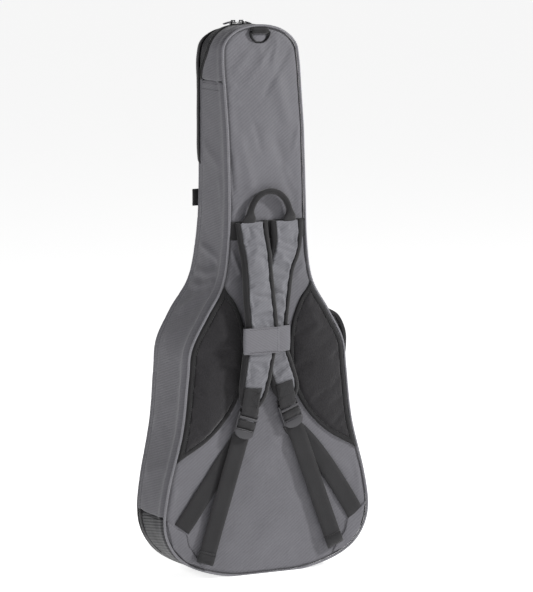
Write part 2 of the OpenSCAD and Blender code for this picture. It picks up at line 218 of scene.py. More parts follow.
def tube(name, rows, mats, which=None, closed=False, merge=0.0):
    """Closed skin over rows of points, each row a closed section. which gives a material to each column."""
    rows = np.asarray(rows, float)
    n, m = rows.shape[:2]
    faces = grid_faces(n, m, closed)
    mat = [0 if which is None else which[k % m] for k in range(len(faces))]
    if not closed:
        faces += [tuple(range(m)), tuple(range((n - 1) * m, n * m))]
        mat += [mat[0], mat[0]]
    return make(name, rows, faces, mats, mat, merge)


def sweep(loop, section, step, ends=None):
    """Rows of points along an outline between two ends, or all round it.
    section(s, z) gives (outward, line, beyond it) for each point of the rows."""
    s0, s1 = ends or (0, loop.total)
    s = np.linspace(s0, s1, max(3, int(abs(s1 - s0) / step)) + 1)
    if ends is None:
        s = s[:-1]
    p, out = loop.at(s)
    rows = []
    for o, line, dy in section(s, p[:, 1]):
        z = np.maximum(p[:, 1] + out[:, 1] * o, 0)
        rows.append(xyz(p[:, 0] + out[:, 0] * o, line(z) + dy, z))
    return np.stack(rows, 1)


def apply_all(ob):
    """Leaves the object with its final mesh and no modifiers."""
    dg = bpy.context.evaluated_depsgraph_get()
    me = bpy.data.meshes.new_from_object(ob.evaluated_get(dg), depsgraph=dg)
    old = ob.data
    ob.modifiers.clear()
    ob.data = me
    bpy.data.meshes.remove(old)
    return ob


def subdivide(ob):
    mod = ob.modifiers.new("subdivision", "SUBSURF")
    mod.levels = mod.render_levels = 1
    return apply_all(ob)


def inflate(ob, held, cap, pressure, grow):
    """Cloth simulation of a padded piece: it is blown up and wrinkles where its cloth is too long.
    held(points in mm) is true where it is sewn down. No point moves further than cap mm."""
    voxel, frames = 0.004, 20
    mod = ob.modifiers.new("remesh", "REMESH")
    mod.mode, mod.voxel_size, mod.use_smooth_shade = "VOXEL", voxel, True
    apply_all(ob)
    n = len(ob.data.vertices)
    rest, end = np.empty(n * 3), np.empty(n * 3)
    ob.data.vertices.foreach_get("co", rest)
    rest = rest.reshape(-1, 3)
    group = ob.vertex_groups.new(name="sewn")
    group.add([int(k) for k in np.flatnonzero(held(rest * 1000))], 1.0, "REPLACE")
    mod = ob.modifiers.new("cloth", "CLOTH")
    c = mod.settings
    c.quality, c.mass, c.air_damping = 4, 0.3, 2.0
    c.tension_stiffness = c.compression_stiffness = 20.0
    c.shear_stiffness, c.bending_stiffness = 10.0, 1.5
    c.use_pressure, c.uniform_pressure_force = True, pressure
    c.shrink_min = -grow
    c.effector_weights.gravity = 0.0
    c.vertex_group_mass = "sewn"
    mod.collision_settings.use_collision = False
    mod.point_cache.frame_start, mod.point_cache.frame_end = 1, frames
    for f in range(1, frames + 1):
        bpy.context.scene.frame_set(f)
    got = ob.evaluated_get(bpy.context.evaluated_depsgraph_get()).data
    got.vertices.foreach_get("co", end)
    move = end.reshape(-1, 3) - rest
    move *= np.minimum(1, cap * 0.001 / (np.linalg.norm(move, axis=1, keepdims=True) + 1e-9))
    ob.modifiers.clear()
    ob.vertex_groups.clear()
    ob.data.vertices.foreach_set("co", (rest + move).ravel())
    ob.data.polygons.foreach_set("material_index", np.zeros(len(ob.data.polygons), np.int32))
    bpy.context.scene.frame_set(1)
    return subdivide(ob)


def bevelled(name, boxes, mat, r=1.0, place=None):
    """Rounded boxes in one object; each box is (low, high) in mm. place moves them."""
    bm = bmesh.new()
    for lo, hi in boxes:
        lo, hi = np.array(lo, float), np.array(hi, float)
        got = bmesh.ops.create_cube(bm, size=1.0)["verts"]
        for v in got:
            v.co = Vector((lo + hi) / 2 + np.array(v.co) * (hi - lo))
        edges = list({e for v in got for e in v.link_edges})
        bmesh.ops.bevel(bm, geom=edges, offset=min(r, 0.45 * min(hi - lo)), segments=3, affect="EDGES",
                        profile=0.5)
    if place is not None:
        bm.transform(place)
    bm.transform(Matrix.Scale(0.001, 4))
    me = bpy.data.meshes.new(name)
    for f in bm.faces:
        f.smooth = True
    bm.to_mesh(me)
    bm.free()
    me.materials.append(mat)
    return link(name, me)


def unit(v):
    v = np.asarray(v, float)
    return v / np.linalg.norm(v, axis=-1, keepdims=True)


def tangents(p):
    t = np.empty_like(p)
    t[1:-1] = p[2:] - p[:-2]
    t[0], t[-1] = p[1] - p[0], p[-1] - p[-2]
    return unit(t)


def tape_rows(p, across, width, thick, crown=0.0):
    """Rows of a flat webbing's rounded section along the 3-D path p. across is its width's direction."""
    p = np.asarray(p, float)
    across = unit(np.broadcast_to(np.asarray(across, float), p.shape))
    width, thick = (np.broadcast_to(np.asarray(v, float), (len(p),))[:, None] for v in (width, thick))
    normal = unit(np.cross(tangents(p), across))
    half = [(-0.5, 0.2), (-0.485, 0.5), (-0.25, 0.5), (0, 0.5), (0.25, 0.5), (0.485, 0.5), (0.5, 0.2)]
    return np.stack([p + across * width * u + normal * (thick * v + crown * (1 - 4 * u * u))
                     for u, v in half + [(-u, -v) for u, v in half]], 1)


def tape(name, p, across, width, thick, mat, crown=0.0):
    return tube(name, tape_rows(p, across, width, thick, crown), mat)


def rope(name, p, r, mat, up=(0, 1, 0), sides=10, closed=False):
    """Round rod along the 3-D path p."""
    p = np.asarray(p, float)
    t = tangents(p)
    b = unit(np.cross(t, np.asarray(up, float)))
    n = unit(np.cross(b, t))
    rows = [p + (b * math.cos(a) + n * math.sin(a)) * r
            for a in np.linspace(0, 2 * math.pi, sides, endpoint=False)]
    return tube(name, np.stack(rows, 1), mat, closed=closed)


def bricks(name, centres, along, out, size, mat):
    """Many small rounded bars in one mesh: stitches or zip teeth. size is (along, across, out)."""
    along, out = (unit(np.broadcast_to(np.asarray(v, float), centres.shape)) for v in (along, out))
    across = np.cross(along, out)
    l, w, h = (v / 2 for v in size)
    corner = [(l * a * k, w * b * j, h * c) for k, j, c in ((1, 0.6, -1), (0.7, 1, 0.3), (0.5, 0.5, 1))
              for a, b in ((-1, -1), (-1, 1), (1, 1), (1, -1))]
    verts = np.stack([centres + along * a + across * b + out * c for a, b, c in corner], 1)
    one = [(0, 1, 2, 3), (11, 10, 9, 8)]
    for k in (0, 4):
        one += [(k + j, k + (j + 1) % 4, k + 4 + (j + 1) % 4, k + 4 + j) for j in range(4)]
    return make(name, verts, [tuple(12 * i + v for v in f) for i in range(len(centres)) for f in one], mat)


def attach(ob, body, slot, *nodes, pad=None):
    """The piece rides on a body and stands for CAD nodes. The slot argument is not used.
    With a body of the form (from, to, start, end) the piece is not bent; only its placement is baked into its
    mesh."""
    if isinstance(body, tuple):
        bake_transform(ob)
    else:
        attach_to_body(ob, body)
    if nodes:
        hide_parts(*nodes)


# ---- materials ---------------------------------------------------------------------------


def srgb(r, g, b, light=1.5):
    """Surface colour that looks like that sRGB colour under the studio's light."""
    c = [v / 12.92 if v <= 0.04045 else ((v + 0.055) / 1.055) ** 2.4 for v in (r / 255, g / 255, b / 255)]
    return tuple(v / light for v in c) + (1.0,)


class Nodes:
    """Short calls for a material's node tree."""

    def __init__(self, name):
        self.mat = bpy.data.materials.new(name)
        self.mat.use_nodes = True
        self.tree = self.mat.node_tree
        self.shader = self.tree.nodes["Principled BSDF"]
        self.where = self.tree.nodes.new("ShaderNodeTexCoord").outputs["Object"]

    def new(self, kind, inputs, **values):
        """A node with those settings, and with values or links on its inputs."""
        node = self.tree.nodes.new(kind)
        for k, v in values.items():
            setattr(node, k, v)
        for k, v in inputs.items():
            self.put(node.inputs[k], v)
        return node.outputs

    def put(self, socket, value):
        if isinstance(value, bpy.types.NodeSocket):
            self.tree.links.new(value, socket)
        else:
            socket.default_value = value

    def math(self, op, a, b=0.0, clamp=False):
        return self.new("ShaderNodeMath", {0: a, 1: b}, operation=op, use_clamp=clamp)[0]

    def add(self, a, b):
        return self.math("ADD", a, b)

    def mul(self, a, b):
        return self.math("MULTIPLY", a, b)

    def mid(self, a):
        """A value about 0.5, moved to be about 0."""
        return self.math("SUBTRACT", a, 0.5)

    def ribs(self, direction, pitch, bend=0.0):
        """Sine of the way along a direction in space, -1 to 1, with that pitch in mm."""
        turns = tuple(unit(direction) * (2 * math.pi / (pitch * 0.001)))
        phase = self.new("ShaderNodeVectorMath", {0: self.where, 1: turns}, operation="DOT_PRODUCT")["Value"]
        if bend:
            phase = self.add(phase, self.mul(self.noise(9.0, 1), bend))
        return self.math("SINE", phase)

    def noise(self, scale, detail=2, rough=0.5):
        return self.new("ShaderNodeTexNoise", {"Vector": self.where, "Scale": scale, "Detail": detail,
                                               "Roughness": rough})["Fac"]

    def cells(self, scale):
        return self.new("ShaderNodeTexVoronoi", {"Vector": self.where, "Scale": scale})["Distance"]

    def tones(self, colour, low, high, terms, centre=0.5):
        """The colour times low to high, by the centre plus the weighted terms."""
        fac = centre
        for value, weight in terms:
            fac = self.add(self.mul(value, weight), fac)
        fac = self.math("ADD", fac, 0.0, clamp=True)
        a, b = (tuple(v * f for v in colour[:3]) + (1.0,) for f in (low, high))
        return self.new("ShaderNodeMix", {"Factor": fac, "A": a, "B": b}, data_type="RGBA")["Result"]

    def finish(self, colour, height, depth, rough, sheen=0.0, metal=0.0, spec=0.4, rough_map=None):
        values = {"Base Color": colour, "Roughness": rough, "Metallic": metal, "Specular IOR Level": spec}
        if sheen:
            values.update({"Sheen Weight": sheen, "Sheen Roughness": 0.45})
        if height is not None:
            values["Normal"] = self.new("ShaderNodeBump", {"Strength": 1.0, "Distance": depth * 0.001,
                                                           "Height": height})["Normal"]
        for k, v in values.items():
            self.put(self.shader.inputs[k], v)
        if rough_map is not None:
            self.put(self.shader.inputs["Roughness"], rough_map)
        return self.mat


def twill(name, colour, direction, pitch, contrast, sheen=0.15, rough=0.62, cross=(1, 0, 0.25)):
    """Coated ripstop: diagonal ribs with a fine cross weave, faint mottling and slow colour changes."""
    n = Nodes(name)
    rib = n.ribs(direction, pitch, 0.8)
    weft = n.ribs(cross, 2.1)
    weave = n.mul(n.ribs(direction, pitch / 3.0), weft)
    slow = n.noise(7.0, 3)
    col = n.tones(colour, 0.80, 1.20, [(rib, contrast), (weave, 0.10), (weft, 0.06), (n.mid(slow), 0.7),
                                       (n.mid(n.noise(160.0, 2)), 0.3)])
    height = n.add(n.mul(rib, 0.22), n.add(n.mul(weave, 0.16), n.mul(n.noise(38.0, 4, 0.6), 1.6)))
    return n.finish(col, height, 0.55, rough, sheen, rough_map=n.add(rough - 0.08, n.mul(slow, 0.16)))


def webbing(name, colour, along):
    """Woven tape: herringbone of fine ribs along and across it, with fuzz."""
    n = Nodes(name)
    along = unit(along)
    side = unit(np.cross(along, (0, 1, 0)) if abs(along[1]) < 0.9 else np.cross(along, (1, 0, 0)))
    a = n.ribs(along, 2.4)
    woven = n.mul(a, n.ribs(side, 3.4))
    col = n.tones(colour, 0.62, 1.7, [(woven, 0.28), (a, 0.12), (n.mid(n.noise(22.0, 3)), 0.7),
                                      (n.mid(n.noise(420.0, 2)), 0.5)], 0.42)
    return n.finish(col, n.add(n.mul(woven, 0.3), n.mul(n.noise(500.0, 2), 0.4)), 0.5, 0.78, 0.25, spec=0.3)


def spacer_mesh(name, colour):
    """Air mesh: a net of small open cells over a darker ground."""
    n = Nodes(name)
    cell = n.cells(380.0)
    col = n.tones(colour, 0.6, 1.35, [(cell, -0.7), (n.mid(n.noise(9.0, 3)), 0.5),
                                      (n.mid(n.noise(60.0, 2)), 0.2)], 0.8)
    return n.finish(col, n.add(n.mul(cell, -0.7), n.mul(n.noise(30.0, 2), 0.8)), 0.6, 0.86, 0.35, spec=0.25)


def coated(name, colour, rough=0.5):
    """Rubberised cloth: grain and long soft creases, a little shiny on the ridges; its colour carries painted
    shade, darker in the crease hollows and lighter on the ridges.
    """
    n = Nodes(name)
    fold = n.noise(30.0, 5, 0.65)
    rib = n.ribs((0, 0.15, 1), 6.0, 0.6)
    # the colour follows the fold heights: painted shade in the crease hollows, lighter on the ridges
    col = n.tones(colour, 0.72, 1.3, [(n.mid(fold), 1.0), (n.cells(420.0), 0.2), (n.mid(n.noise(8.0, 2)), 0.5),
                                      (rib, 0.16)], 0.4)
    return n.finish(col, n.add(n.mul(fold, 2.0), n.mul(rib, 0.5)), 0.8, rough, 0.05,
                    rough_map=n.add(rough - 0.1, n.mul(fold, 0.2)))


def moulded(name, colour, rough, metal=0.0):
    """Moulded plastic or painted metal: fine spark-eroded grain and faint scuffs."""
    n = Nodes(name)
    grain, scuff = n.noise(900.0, 2), n.noise(70.0, 5, 0.7)
    col = n.tones(colour, 0.8, 1.25, [(n.mid(grain), 0.4), (n.mid(scuff), 0.9)])
    return n.finish(col, n.add(n.mul(grain, 0.15), n.mul(scuff, 0.12)), 0.35, rough, 0.0, metal, 0.5,
                    n.add(rough - 0.12, n.mul(scuff, 0.24)))


def brushed(name, colour, rough=0.6):
    """Soft napped lining."""
    n = Nodes(name)
    nap = n.noise(600.0, 3, 0.6)
    col = n.tones(colour, 0.82, 1.18, [(n.mid(nap), 0.8), (n.mid(n.noise(14.0, 3)), 0.6)])
    return n.finish(col, n.add(nap, n.mul(n.noise(26.0, 3), 2.0)), 0.5, rough, 0.5)


GREY = srgb(122, 121, 127)
BLACK = srgb(44, 43, 45)
DARK = srgb(34, 33, 35)
m_back = twill("back_fabric", GREY, (-0.6, 0.0, 0.8), 5.6, 0.17)
# the sides' grey is the back's shell cloth set darker: painted shade for the sides that face away from the key
# light
m_side_shaded = twill("side_fabric_shaded", srgb(106, 105, 111), (0.0, 0.29, 0.956), 5.2, 0.2, cross=(0, 1, 0.3))
m_strap = twill("strap_fabric", srgb(132, 132, 138), (-0.5, 0.0, 0.86), 4.6, 0.2)
m_keeper = twill("keeper_fabric", srgb(120, 119, 125), (0.5, 0.0, 0.86), 4.6, 0.16)
m_flap = twill("flap_fabric", srgb(128, 127, 133), (0.5, 0.0, 0.86), 4.6, 0.16)
m_front = twill("front_fabric", GREY, (-0.6, 0.0, 0.8), 5.6, 0.3)
m_pocket = twill("pocket_fabric", srgb(37, 36, 39), (-0.6, 0.1, 0.8), 5.2, 0.22, sheen=0.1)
m_band = twill("band_fabric", srgb(41, 40, 43), (0.0, 0.5, 0.85), 4.4, 0.2, sheen=0.1)
m_piping = twill("piping_fabric", srgb(140, 139, 145), (0.6, 0.5, 0.6), 3.0, 0.12, rough=0.55)
m_guard = coated("guard_rubber", srgb(51, 51, 54))
m_mesh = spacer_mesh("pad_mesh", srgb(45, 43, 46))
m_lining = brushed("lining_nap", srgb(120, 118, 116))
m_foam = brushed("foam_edge", srgb(96, 95, 98))
m_bind = webbing("binding_tape", srgb(36, 35, 37), (0, 0, 1))
m_bind_dark = webbing("pad_border_tape", DARK, (0, 0, 1))
# darker cord for the seam line inside the back piping: partly a real dark seam edge, partly painted shade for the
# shadow line in that groove
m_seam_shade_cord = twill("seam_cord_shade", srgb(84, 83, 87), (0.6, 0.5, 0.6), 3.0, 0.12)
m_zip = webbing("zip_tape", DARK, (0, 1, 0))
m_teeth = moulded("zip_teeth", srgb(40, 40, 42), 0.35)
m_thread = moulded("thread_black", srgb(30, 29, 31), 0.7)
m_thread_grey = moulded("thread_grey", srgb(98, 97, 102), 0.7)
m_buckle = moulded("buckle_plastic", srgb(72, 71, 75), 0.45)
m_ring = moulded("ring_metal", srgb(30, 30, 32), 0.35, 0.6)
m_slider = moulded("slider_metal", srgb(44, 44, 46), 0.35, 0.8)
m_silver = moulded("pull_silver", srgb(170, 170, 172), 0.3, 0.9)


def sew(name, path, body, slot, out=(0, -1, 0), mat=m_thread):
    """Row of stitches along a 3-D path. out is the direction that they stand out in."""
    pitch, size, lift = 4.6, (3.2, 0.9, 0.8), 0.1
    p = resample(np.asarray(path, float), pitch)
    out = np.broadcast_to(np.asarray(out, float), p.shape)
    attach(bricks(name, p + unit(out) * lift, tangents(p), out, size, mat), body, slot)

# ---- panels ------------------------------------------------------------------------------


def panel(name, loop, spine, outer, inner, mats, rings, samples, edge_in=0.0):
    """Closed panel over an outline. Rays run out from a spine on x = 0 to the outline.
    outer and inner give y from (x, z, distance from the edge, way along the outline)."""
    s, p, out = loop.even(samples)
    p = p - out * edge_in
    p[:, 1] = np.maximum(p[:, 1], 0)
    centre = np.stack([np.zeros(samples), spine(p[:, 1])], 1)
    reach = np.abs(np.sum((p - centre) * out, 1)) + 1
    t = np.sin(np.linspace(0, 1, rings) * math.pi / 2) ** 0.9
    faces = [(outer, k) for k in t] + [(inner, min(k, 0.999)) for k in t[::-1][1::2]] + [(inner, 0)]
    rows = []
    for face, k in faces:
        x, z = (centre + (p - centre) * k).T
        rows.append(xyz(x, face(x, z, reach * (1 - k), s), z))
    faces = grid_faces(len(rows), samples)
    mat = [0 if k // samples < rings else 1 for k in range(len(faces))]
    return subdivide(make(name, rows, faces, mats, mat, merge=0.02))


def body_spine(z):
    return 118 + np.clip(z / 1098, 0, 1) * 890


def ease(d, over):
    """0 at the edge, 1 well inside it."""
    return 1 - np.exp(-np.maximum(d, 0) / over)


def puckers(d, s, seed, size, deep, fade):
    """Small gathers along a sewn edge that die away inwards."""
    return deep * wave(coil(s), size, seed) * np.exp(-np.maximum(d, 0) / fade)


def folds(x, z, seed, size, deep):
    """Slow uneven folds over a panel; size is along x and z."""
    return deep * wave(xyz(x, z * 0, z), (size[0], 100, size[1]), seed)


def hollow(x, z, cx, cz, rx, rz, deep):
    """Smooth dent or bump round a point."""
    return deep * np.exp(-((x - cx) / rx) ** 2 - ((z - cz) / rz) ** 2)


def crease(x, z, a, b, wide, deep):
    """Soft ridge (or groove, where deep is below 0) along the line from a to b, dying away at both ends."""
    ax, az = a
    dx, dz = b[0] - ax, b[1] - az
    long = math.hypot(dx, dz)
    along = ((x - ax) * dx + (z - az) * dz) / long ** 2
    off = ((x - ax) * dz - (z - az) * dx) / long
    end = np.maximum(np.abs(along - 0.5) - 0.35, 0) / 0.2
    return 2.2 * deep * np.exp(-(off / wide) ** 2 - end ** 2)


# pulls from the hanging ring, the handle's feet and the edges: (from, to, half width, height)
creases = [
    ((28, 1060), (-35, 985), 5, 1.2), ((40, 1067), (25, 1023), 5, 1.0), ((66, 1050), (0, 960), 6, -1.2),
    ((-77, 943), (-54, 946), 4, 1.2), ((-74, 977), (-60, 982), 4, 1.0), ((-23, 905), (-12, 852), 7, -1.0),
    ((-74, 737), (-36, 784), 5, 1.4), ((-81, 657), (-60, 607), 4, 1.4), ((-88, 592), (-60, 611), 4, 1.2),
    ((64, 599), (85, 623), 5, 1.2), ((-80, 851), (-73, 770), 5, -1.3), ((62, 770), (40, 820), 7, 1.2),
    ((-60, 1010), (-20, 1050), 7, 1.2), ((76, 900), (60, 850), 6, 1.0), ((20, 880), (60, 760), 12, -1.6),
    ((-60, 880), (-30, 760), 12, 1.4), ((30, 1000), (50, 900), 14, 1.5), ((-40, 40), (70, 150), 22, 0.9),
    ((60, 150), (110, 230), 18, -1.0), ((-70, 180), (-20, 90), 24, -1.3), ((20, 300), (0, 200), 14, 1.0),
    ((-170, 190), (-120, 120), 16, -1.0), ((150, 230), (190, 190), 9, 0.9), ((120, 60), (60, 30), 16, -0.9),
    ((-150, 75), (-90, 60), 7, 1.2), ((0, 45), (90, 60), 8, -1.2), ((120, 80), (150, 110), 7, 1.2),
    ((-40, 240), (-10, 180), 9, 1.0), ((30, 250), (20, 200), 9, -1.0), ((205, 200), (212, 150), 5, 1.1),
    ((-207, 190), (-214, 150), 5, 1.1)]

# pulled up round the hanging ring, slack above the handle and in the lower corners
hollows = [(-24, 1062, 9, 30, 1.1), (20, 1058, 10, 34, 1.0), (0, 1040, 7, 40, -0.9), (-62, 905, 9, 46, 1.1),
           (-70, 830, 7, 50, -0.9), (58, 800, 9, 60, 0.8), (-30, 742, 26, 12, 0.8), (36, 745, 30, 11, -0.8),
           (0, 640, 40, 26, 0.9), (-120, 150, 60, 20, 0.9), (115, 160, 50, 24, -1.0), (30, 120, 70, 30, 0.9),
           (-20, 60, 80, 16, -0.8), (196, 120, 16, 40, 0.9), (-196, 128, 16, 40, 0.9)]


def crown(z):
    """Fullness of the back over the neck, in mm."""
    return np.interp(z, [740, 800, 1010, 1050], [0, 2.5, 2.5, 0])


def back_outer(x, z, d, s):
    y = back_at(z) + 2.6 - 3.8 * ease(d - 1, 4) - crown(z) * ease(d, 40) / (1 - math.exp(-84 / 40))
    y = y - 1.6 * ease(d, 14) * folds(x - 0.35 * z, z, 8, (60, 190), 1.0) * np.clip((z - 735) / 50, 0, 1)
    for line in creases:
        y = y - crease(x, z, *line)
    y = y + puckers(d, s, 3, 30, 0.9, 24) + puckers(d, s, 4, 13, 0.35, 9)
    calm = np.clip((np.abs(z - 690) - 25) / 40, 0, 1)
    y = y + calm * folds(x, z, 5, (95, 150), 0.9) + calm * folds(x + 0.7 * z, z - 0.3 * x, 6, (150, 34), 0.45)
    for dent in hollows:
        y = y + hollow(x, z, *dent)
    return y


def back_inner(x, z, d, s):
    return back_at(z) + 13.5


attach(panel("back_cover", outline, body_spine, back_outer, back_inner, [m_back, m_foam], 26, 440, 1.2),
       "bag", "shell_fabric", "back_panel", "back_foam", pad=0.7)

# ---- gusset ------------------------------------------------------------------------------

# folds across the side at the waist and the shoulder, in (mm in front of the piping, height)
side_creases = [((118, 656), (70, 648), 6, 2.2), ((75, 650), (22, 626), 5, 2.4), ((125, 606), (60, 603), 7, 2.4),
                ((60, 604), (16, 620), 5, 2.2), ((60, 622), (30, 640), 6, -1.8), ((135, 580), (80, 577), 7, 2.0),
                ((85, 577), (28, 592), 5, 2.4), ((110, 530), (24, 580), 8, 2.0), ((120, 470), (40, 520), 12, 1.4),
                ((100, 860), (40, 820), 12, 1.2), ((40, 800), (20, 720), 9, 1.0),
                ((130, 300), (50, 360), 12, 1.2), ((110, 200), (40, 230), 10, 1.2)]
ZIP_GAP = 6.0       # from the front edge of the side's cloth to the seam line
RIDGE = 27.0        # mm in front of the back edge where the ridge beside the piping ends
ridge_ways = (1.2, 4.0, 7.5, 11.0, 15.0, 20.0, RIDGE)


def rim_inside(depth, front_way):
    """The foam side of a padded rim's section, from its front edge to its back edge."""
    return ([(-2.0, seam_at, -ZIP_GAP + 0.1), (-13.6, seam_at, -ZIP_GAP + 0.1)]
            + [(-13.6, back_at, depth * f) for f in front_way]
            + [(-13.6, back_at, 14.2), (-8.0, back_at, 13.6), (-3.4, back_at, 1.4)])


def gusset_section(seed):
    """Section of the padded side: a recessed flange beside the piping, a rounded ridge, then a soft flat."""
    shape = [-2.4, -3.2, -1.6, 1.5, 2.0, 1.1, 0.3]
    full = [0.0, 0.25, 0.7, 1.0, 1.0, 0.85, 0.45]

    def section(s, z):
        swell = np.interp(z, [40, 140, 300, 430, 560, 640, 760, 1000, 1060], [2.5, 3, 4.5, 6, 6, 4, 1.5, 1, 0])
        depth = seam_at(z) - ZIP_GAP - back_at(z)
        ring = coil(s)
        out = []
        for u, o, more in zip(ridge_ways, shape, full):
            w = 0.35 * wave(ring + [0, 0, u * 2], 16, seed) + 0.5 * wave(ring, 60, seed + 1)
            out.append((o + swell * more + w * (1 if u > 5 else 0.3), back_at, u))
        parts = 13
        for j in range(1, parts):
            f = j / parts
            u = RIDGE + (depth - RIDGE) * f
            bulge = 1.6 * np.sin(math.pi * f) ** 0.7 + 0.2
            near = np.exp(-((z - 590) / 70.0) ** 2)
            w = 0.8 * wave((ring + xyz(0, 0, u)) * [1, 1, 0.9], 75, seed + 2) + (0.5 + 1.8 * near) * wave(
                xyz(s * 0.5 + u * 0.55, u * 0.3, s * 0), (17, 60, 30), seed + 3)
            for line in side_creases:
                w = w + crease(u, z, *line)
            w = w * np.minimum(1, (1 - f) * 5 + 0.15) + swell * 0.18 * max(0, 1 - f * 5)
            out.append((bulge + w, back_at, u))
        return out + [(-0.4, seam_at, -ZIP_GAP)] + rim_inside(depth, (0.66, 0.33))
    return section


def padded_rim(name, ends, section, cloth, slot, *nodes, outer=20):
    """Padded piece of the side; the first columns of its section are its cloth and the rest its foam."""
    rows = sweep(outline, section, 7.0, ends)
    which = [0] * outer + [1] * (rows.shape[1] - outer)
    attach(subdivide(tube(name, rows, [cloth, m_foam], which)), "bag", slot, *nodes, pad=0.7)


SEAM_Z, GUARD_Z = 988.0, 131.0
left_low, left_high = way_at(GUARD_Z, -1), way_at(SEAM_Z, -1)
right_low, right_high = way_at(GUARD_Z, 1), way_at(SEAM_Z, 1)
padded_rim("gusset_left_cover", (left_high - 2.2, left_low + 2.0), gusset_section(11), m_side_shaded, "shell_fabric",
           "gusset_left", "gusset_foam")
padded_rim("gusset_right_cover", (right_low - 2.0, right_high + 2.2), gusset_section(15), m_side_shaded,
           "shell_fabric", "gusset_right")
padded_rim("gusset_head_cover", (right_high, left_high), gusset_section(19), m_side_shaded, "shell_fabric",
           "gusset_head")


def guard_section(s, z):
    """Tail guard: thick rubberised cloth over the foam, creased, with the same ridge near the piping."""
    depth = seam_at(z) - ZIP_GAP - back_at(z)
    ring = coil(s)
    out = []
    for u, o in zip(ridge_ways, (-1.9, -2.6, -0.6, 2.2, 2.6, 1.9, 1.3)):
        out.append((o + 0.5 * wave(ring + [0, 0, 2 * u], 18, 31), back_at, u))
    parts = 14
    for j in range(1, parts):
        f = j / parts
        u = RIDGE + (depth - RIDGE) * f
        q = ring + xyz(0, 0, u)
        w = 1.5 * wave(q, 34, 33) + 0.7 * wave(q, 13, 34)
        out.append(((1.5 + w) * min(1, (1 - f) * 6 + 0.1), back_at, u))
    return out + [(0.4, seam_at, -ZIP_GAP)] + rim_inside(depth, (0.5,))


padded_rim("tail_guard_cover", (left_low - outline.total, right_low), guard_section, m_guard, "guard",
           "tail_guard", outer=21)


def flat_band(o0, o1, line0, d0, line1, d1):
    """Section of a thin band that lies on the side between two lines."""
    def section(s, z):
        wide = line1(z) + d1 - (line0(z) + d0)
        ways = (0, 0.25, 0.5, 0.75, 1)
        return ([(o1 - (0.5 if f in (0, 1) else 0), line0, d0 + wide * f) for f in ways]
                + [(o0, line0, d0 + wide * f) for f in ways[::-1]])
    return section


def guard_line(z):
    """Front line of the tail guard: the dark band behind it widens under the bag."""
    return seam_at(z) - 24 * np.clip((96 - np.asarray(z, float)) / 70, 0, 1)


# dark band along the guard's front edge
attach(tube("guard_front_band", sweep(outline, flat_band(-1.0, 2.4, guard_line, -18, seam_at, -5.5), 8,
                                      (left_low - outline.total + 1, right_low - 1)), m_bind), "bag", "guard")


def cross_seam(name, side, z, y0, y1, o, mat, slot):
    """Stitches across the side at height z, standing off it by o."""
    p, out = outline.at(way_at(z, side))
    (x, z), (ox, oz) = p[0], out[0]
    centres = xyz(x + ox * o, np.arange(y0, y1, 4.6), z)
    attach(bricks(name, centres, (0, 1, 0), (ox, 0, oz), (3.2, 0.9, 0.9), mat), "bag", slot)


for side, tag in ((-1, "left"), (1, "right")):
    for z, k in ((SEAM_Z - 5, "a"), (SEAM_Z - 17, "b")):
        cross_seam(f"head_seam_stitches_{tag}_{k}", side, z, float(back_at(z)) + 22, float(seam_at(z)) - 8, 2.1,
                   m_thread_grey, "shell_fabric")
    cross_seam(f"guard_stitches_{tag}", side, GUARD_Z - 6, -BACK + 22, float(seam_at(GUARD_Z)) - 9, 2.6,
               m_thread, "guard")

# ---- piping, zip, spine ------------------------------------------------------------------


def piping(name, line, dy, r, o, seed, mat, body, *nodes, sides=10, step=5):
    """Uneven cord round the whole outline, o out from it and dy in front of a line."""
    def section(s, z):
        ring = coil(s)
        w = 0.35 * wave(ring, 12, seed) + 0.5 * wave(ring, 60, seed + 1)
        return [(o + 0.4 * w + (r + 0.15 * w) * math.cos(a), line, dy + 0.3 * w + (r + 0.15 * w) * math.sin(a))
                for a in np.linspace(0, 2 * math.pi, sides, endpoint=False)]
    attach(tube(name, sweep(outline, section, step), mat, closed=True), body, "piping", *nodes)


piping("piping_back", back_at, -0.8, 2.5, 0.3, 1.0, m_piping, "bag", "rear_piping")
# darker cord sunk in the groove between piping and panel: partly a real dark seam edge, partly painted shade for
# the groove's shadow line
piping("panel_seam_shade_cord", back_at, 0.6, 1.15, -3.2, 2.0, m_seam_shade_cord, "bag", sides=8)
piping("piping_front", front_at, 0.4, 2.6, -9.2, 5.0, m_band, "lid", "front_piping", step=6)

zip_from, zip_to = way_at(GUARD_Z, -1) - outline.total, left_high
for body, tag, d0, d1 in (("bag", "tub", -6.4, 0.0), ("lid", "lid", 1.0, 7.4)):
    attach(tube(f"zip_tape_on_{tag}", sweep(outline, flat_band(-2, 0.3, seam_at, d0, seam_at, d1), 6,
                                            (zip_from, zip_to)), m_zip), body, "zip", f"zip_tape_{tag}")
for body, tag, dy, shift in (("bag", "tub", -1.1, 0.0), ("lid", "lid", 2.1, 1.6)):
    start, end, stand_off = zip_from + 6 + shift, zip_to - 6, 0.9
    p, out = outline.at(np.linspace(start, end, int(abs(end - start) / 3.2) + 1))
    z = np.maximum(p[:, 1] + out[:, 1] * stand_off, 1.1)
    p = xyz(p[:, 0] + out[:, 0] * stand_off, seam_at(z) + dy, z)
    attach(bricks(f"zip_teeth_on_{tag}", p, tangents(p), xyz(out[:, 0], 0, out[:, 1]), (1.7, 3.6, 2.0), m_teeth),
           body, "zip")
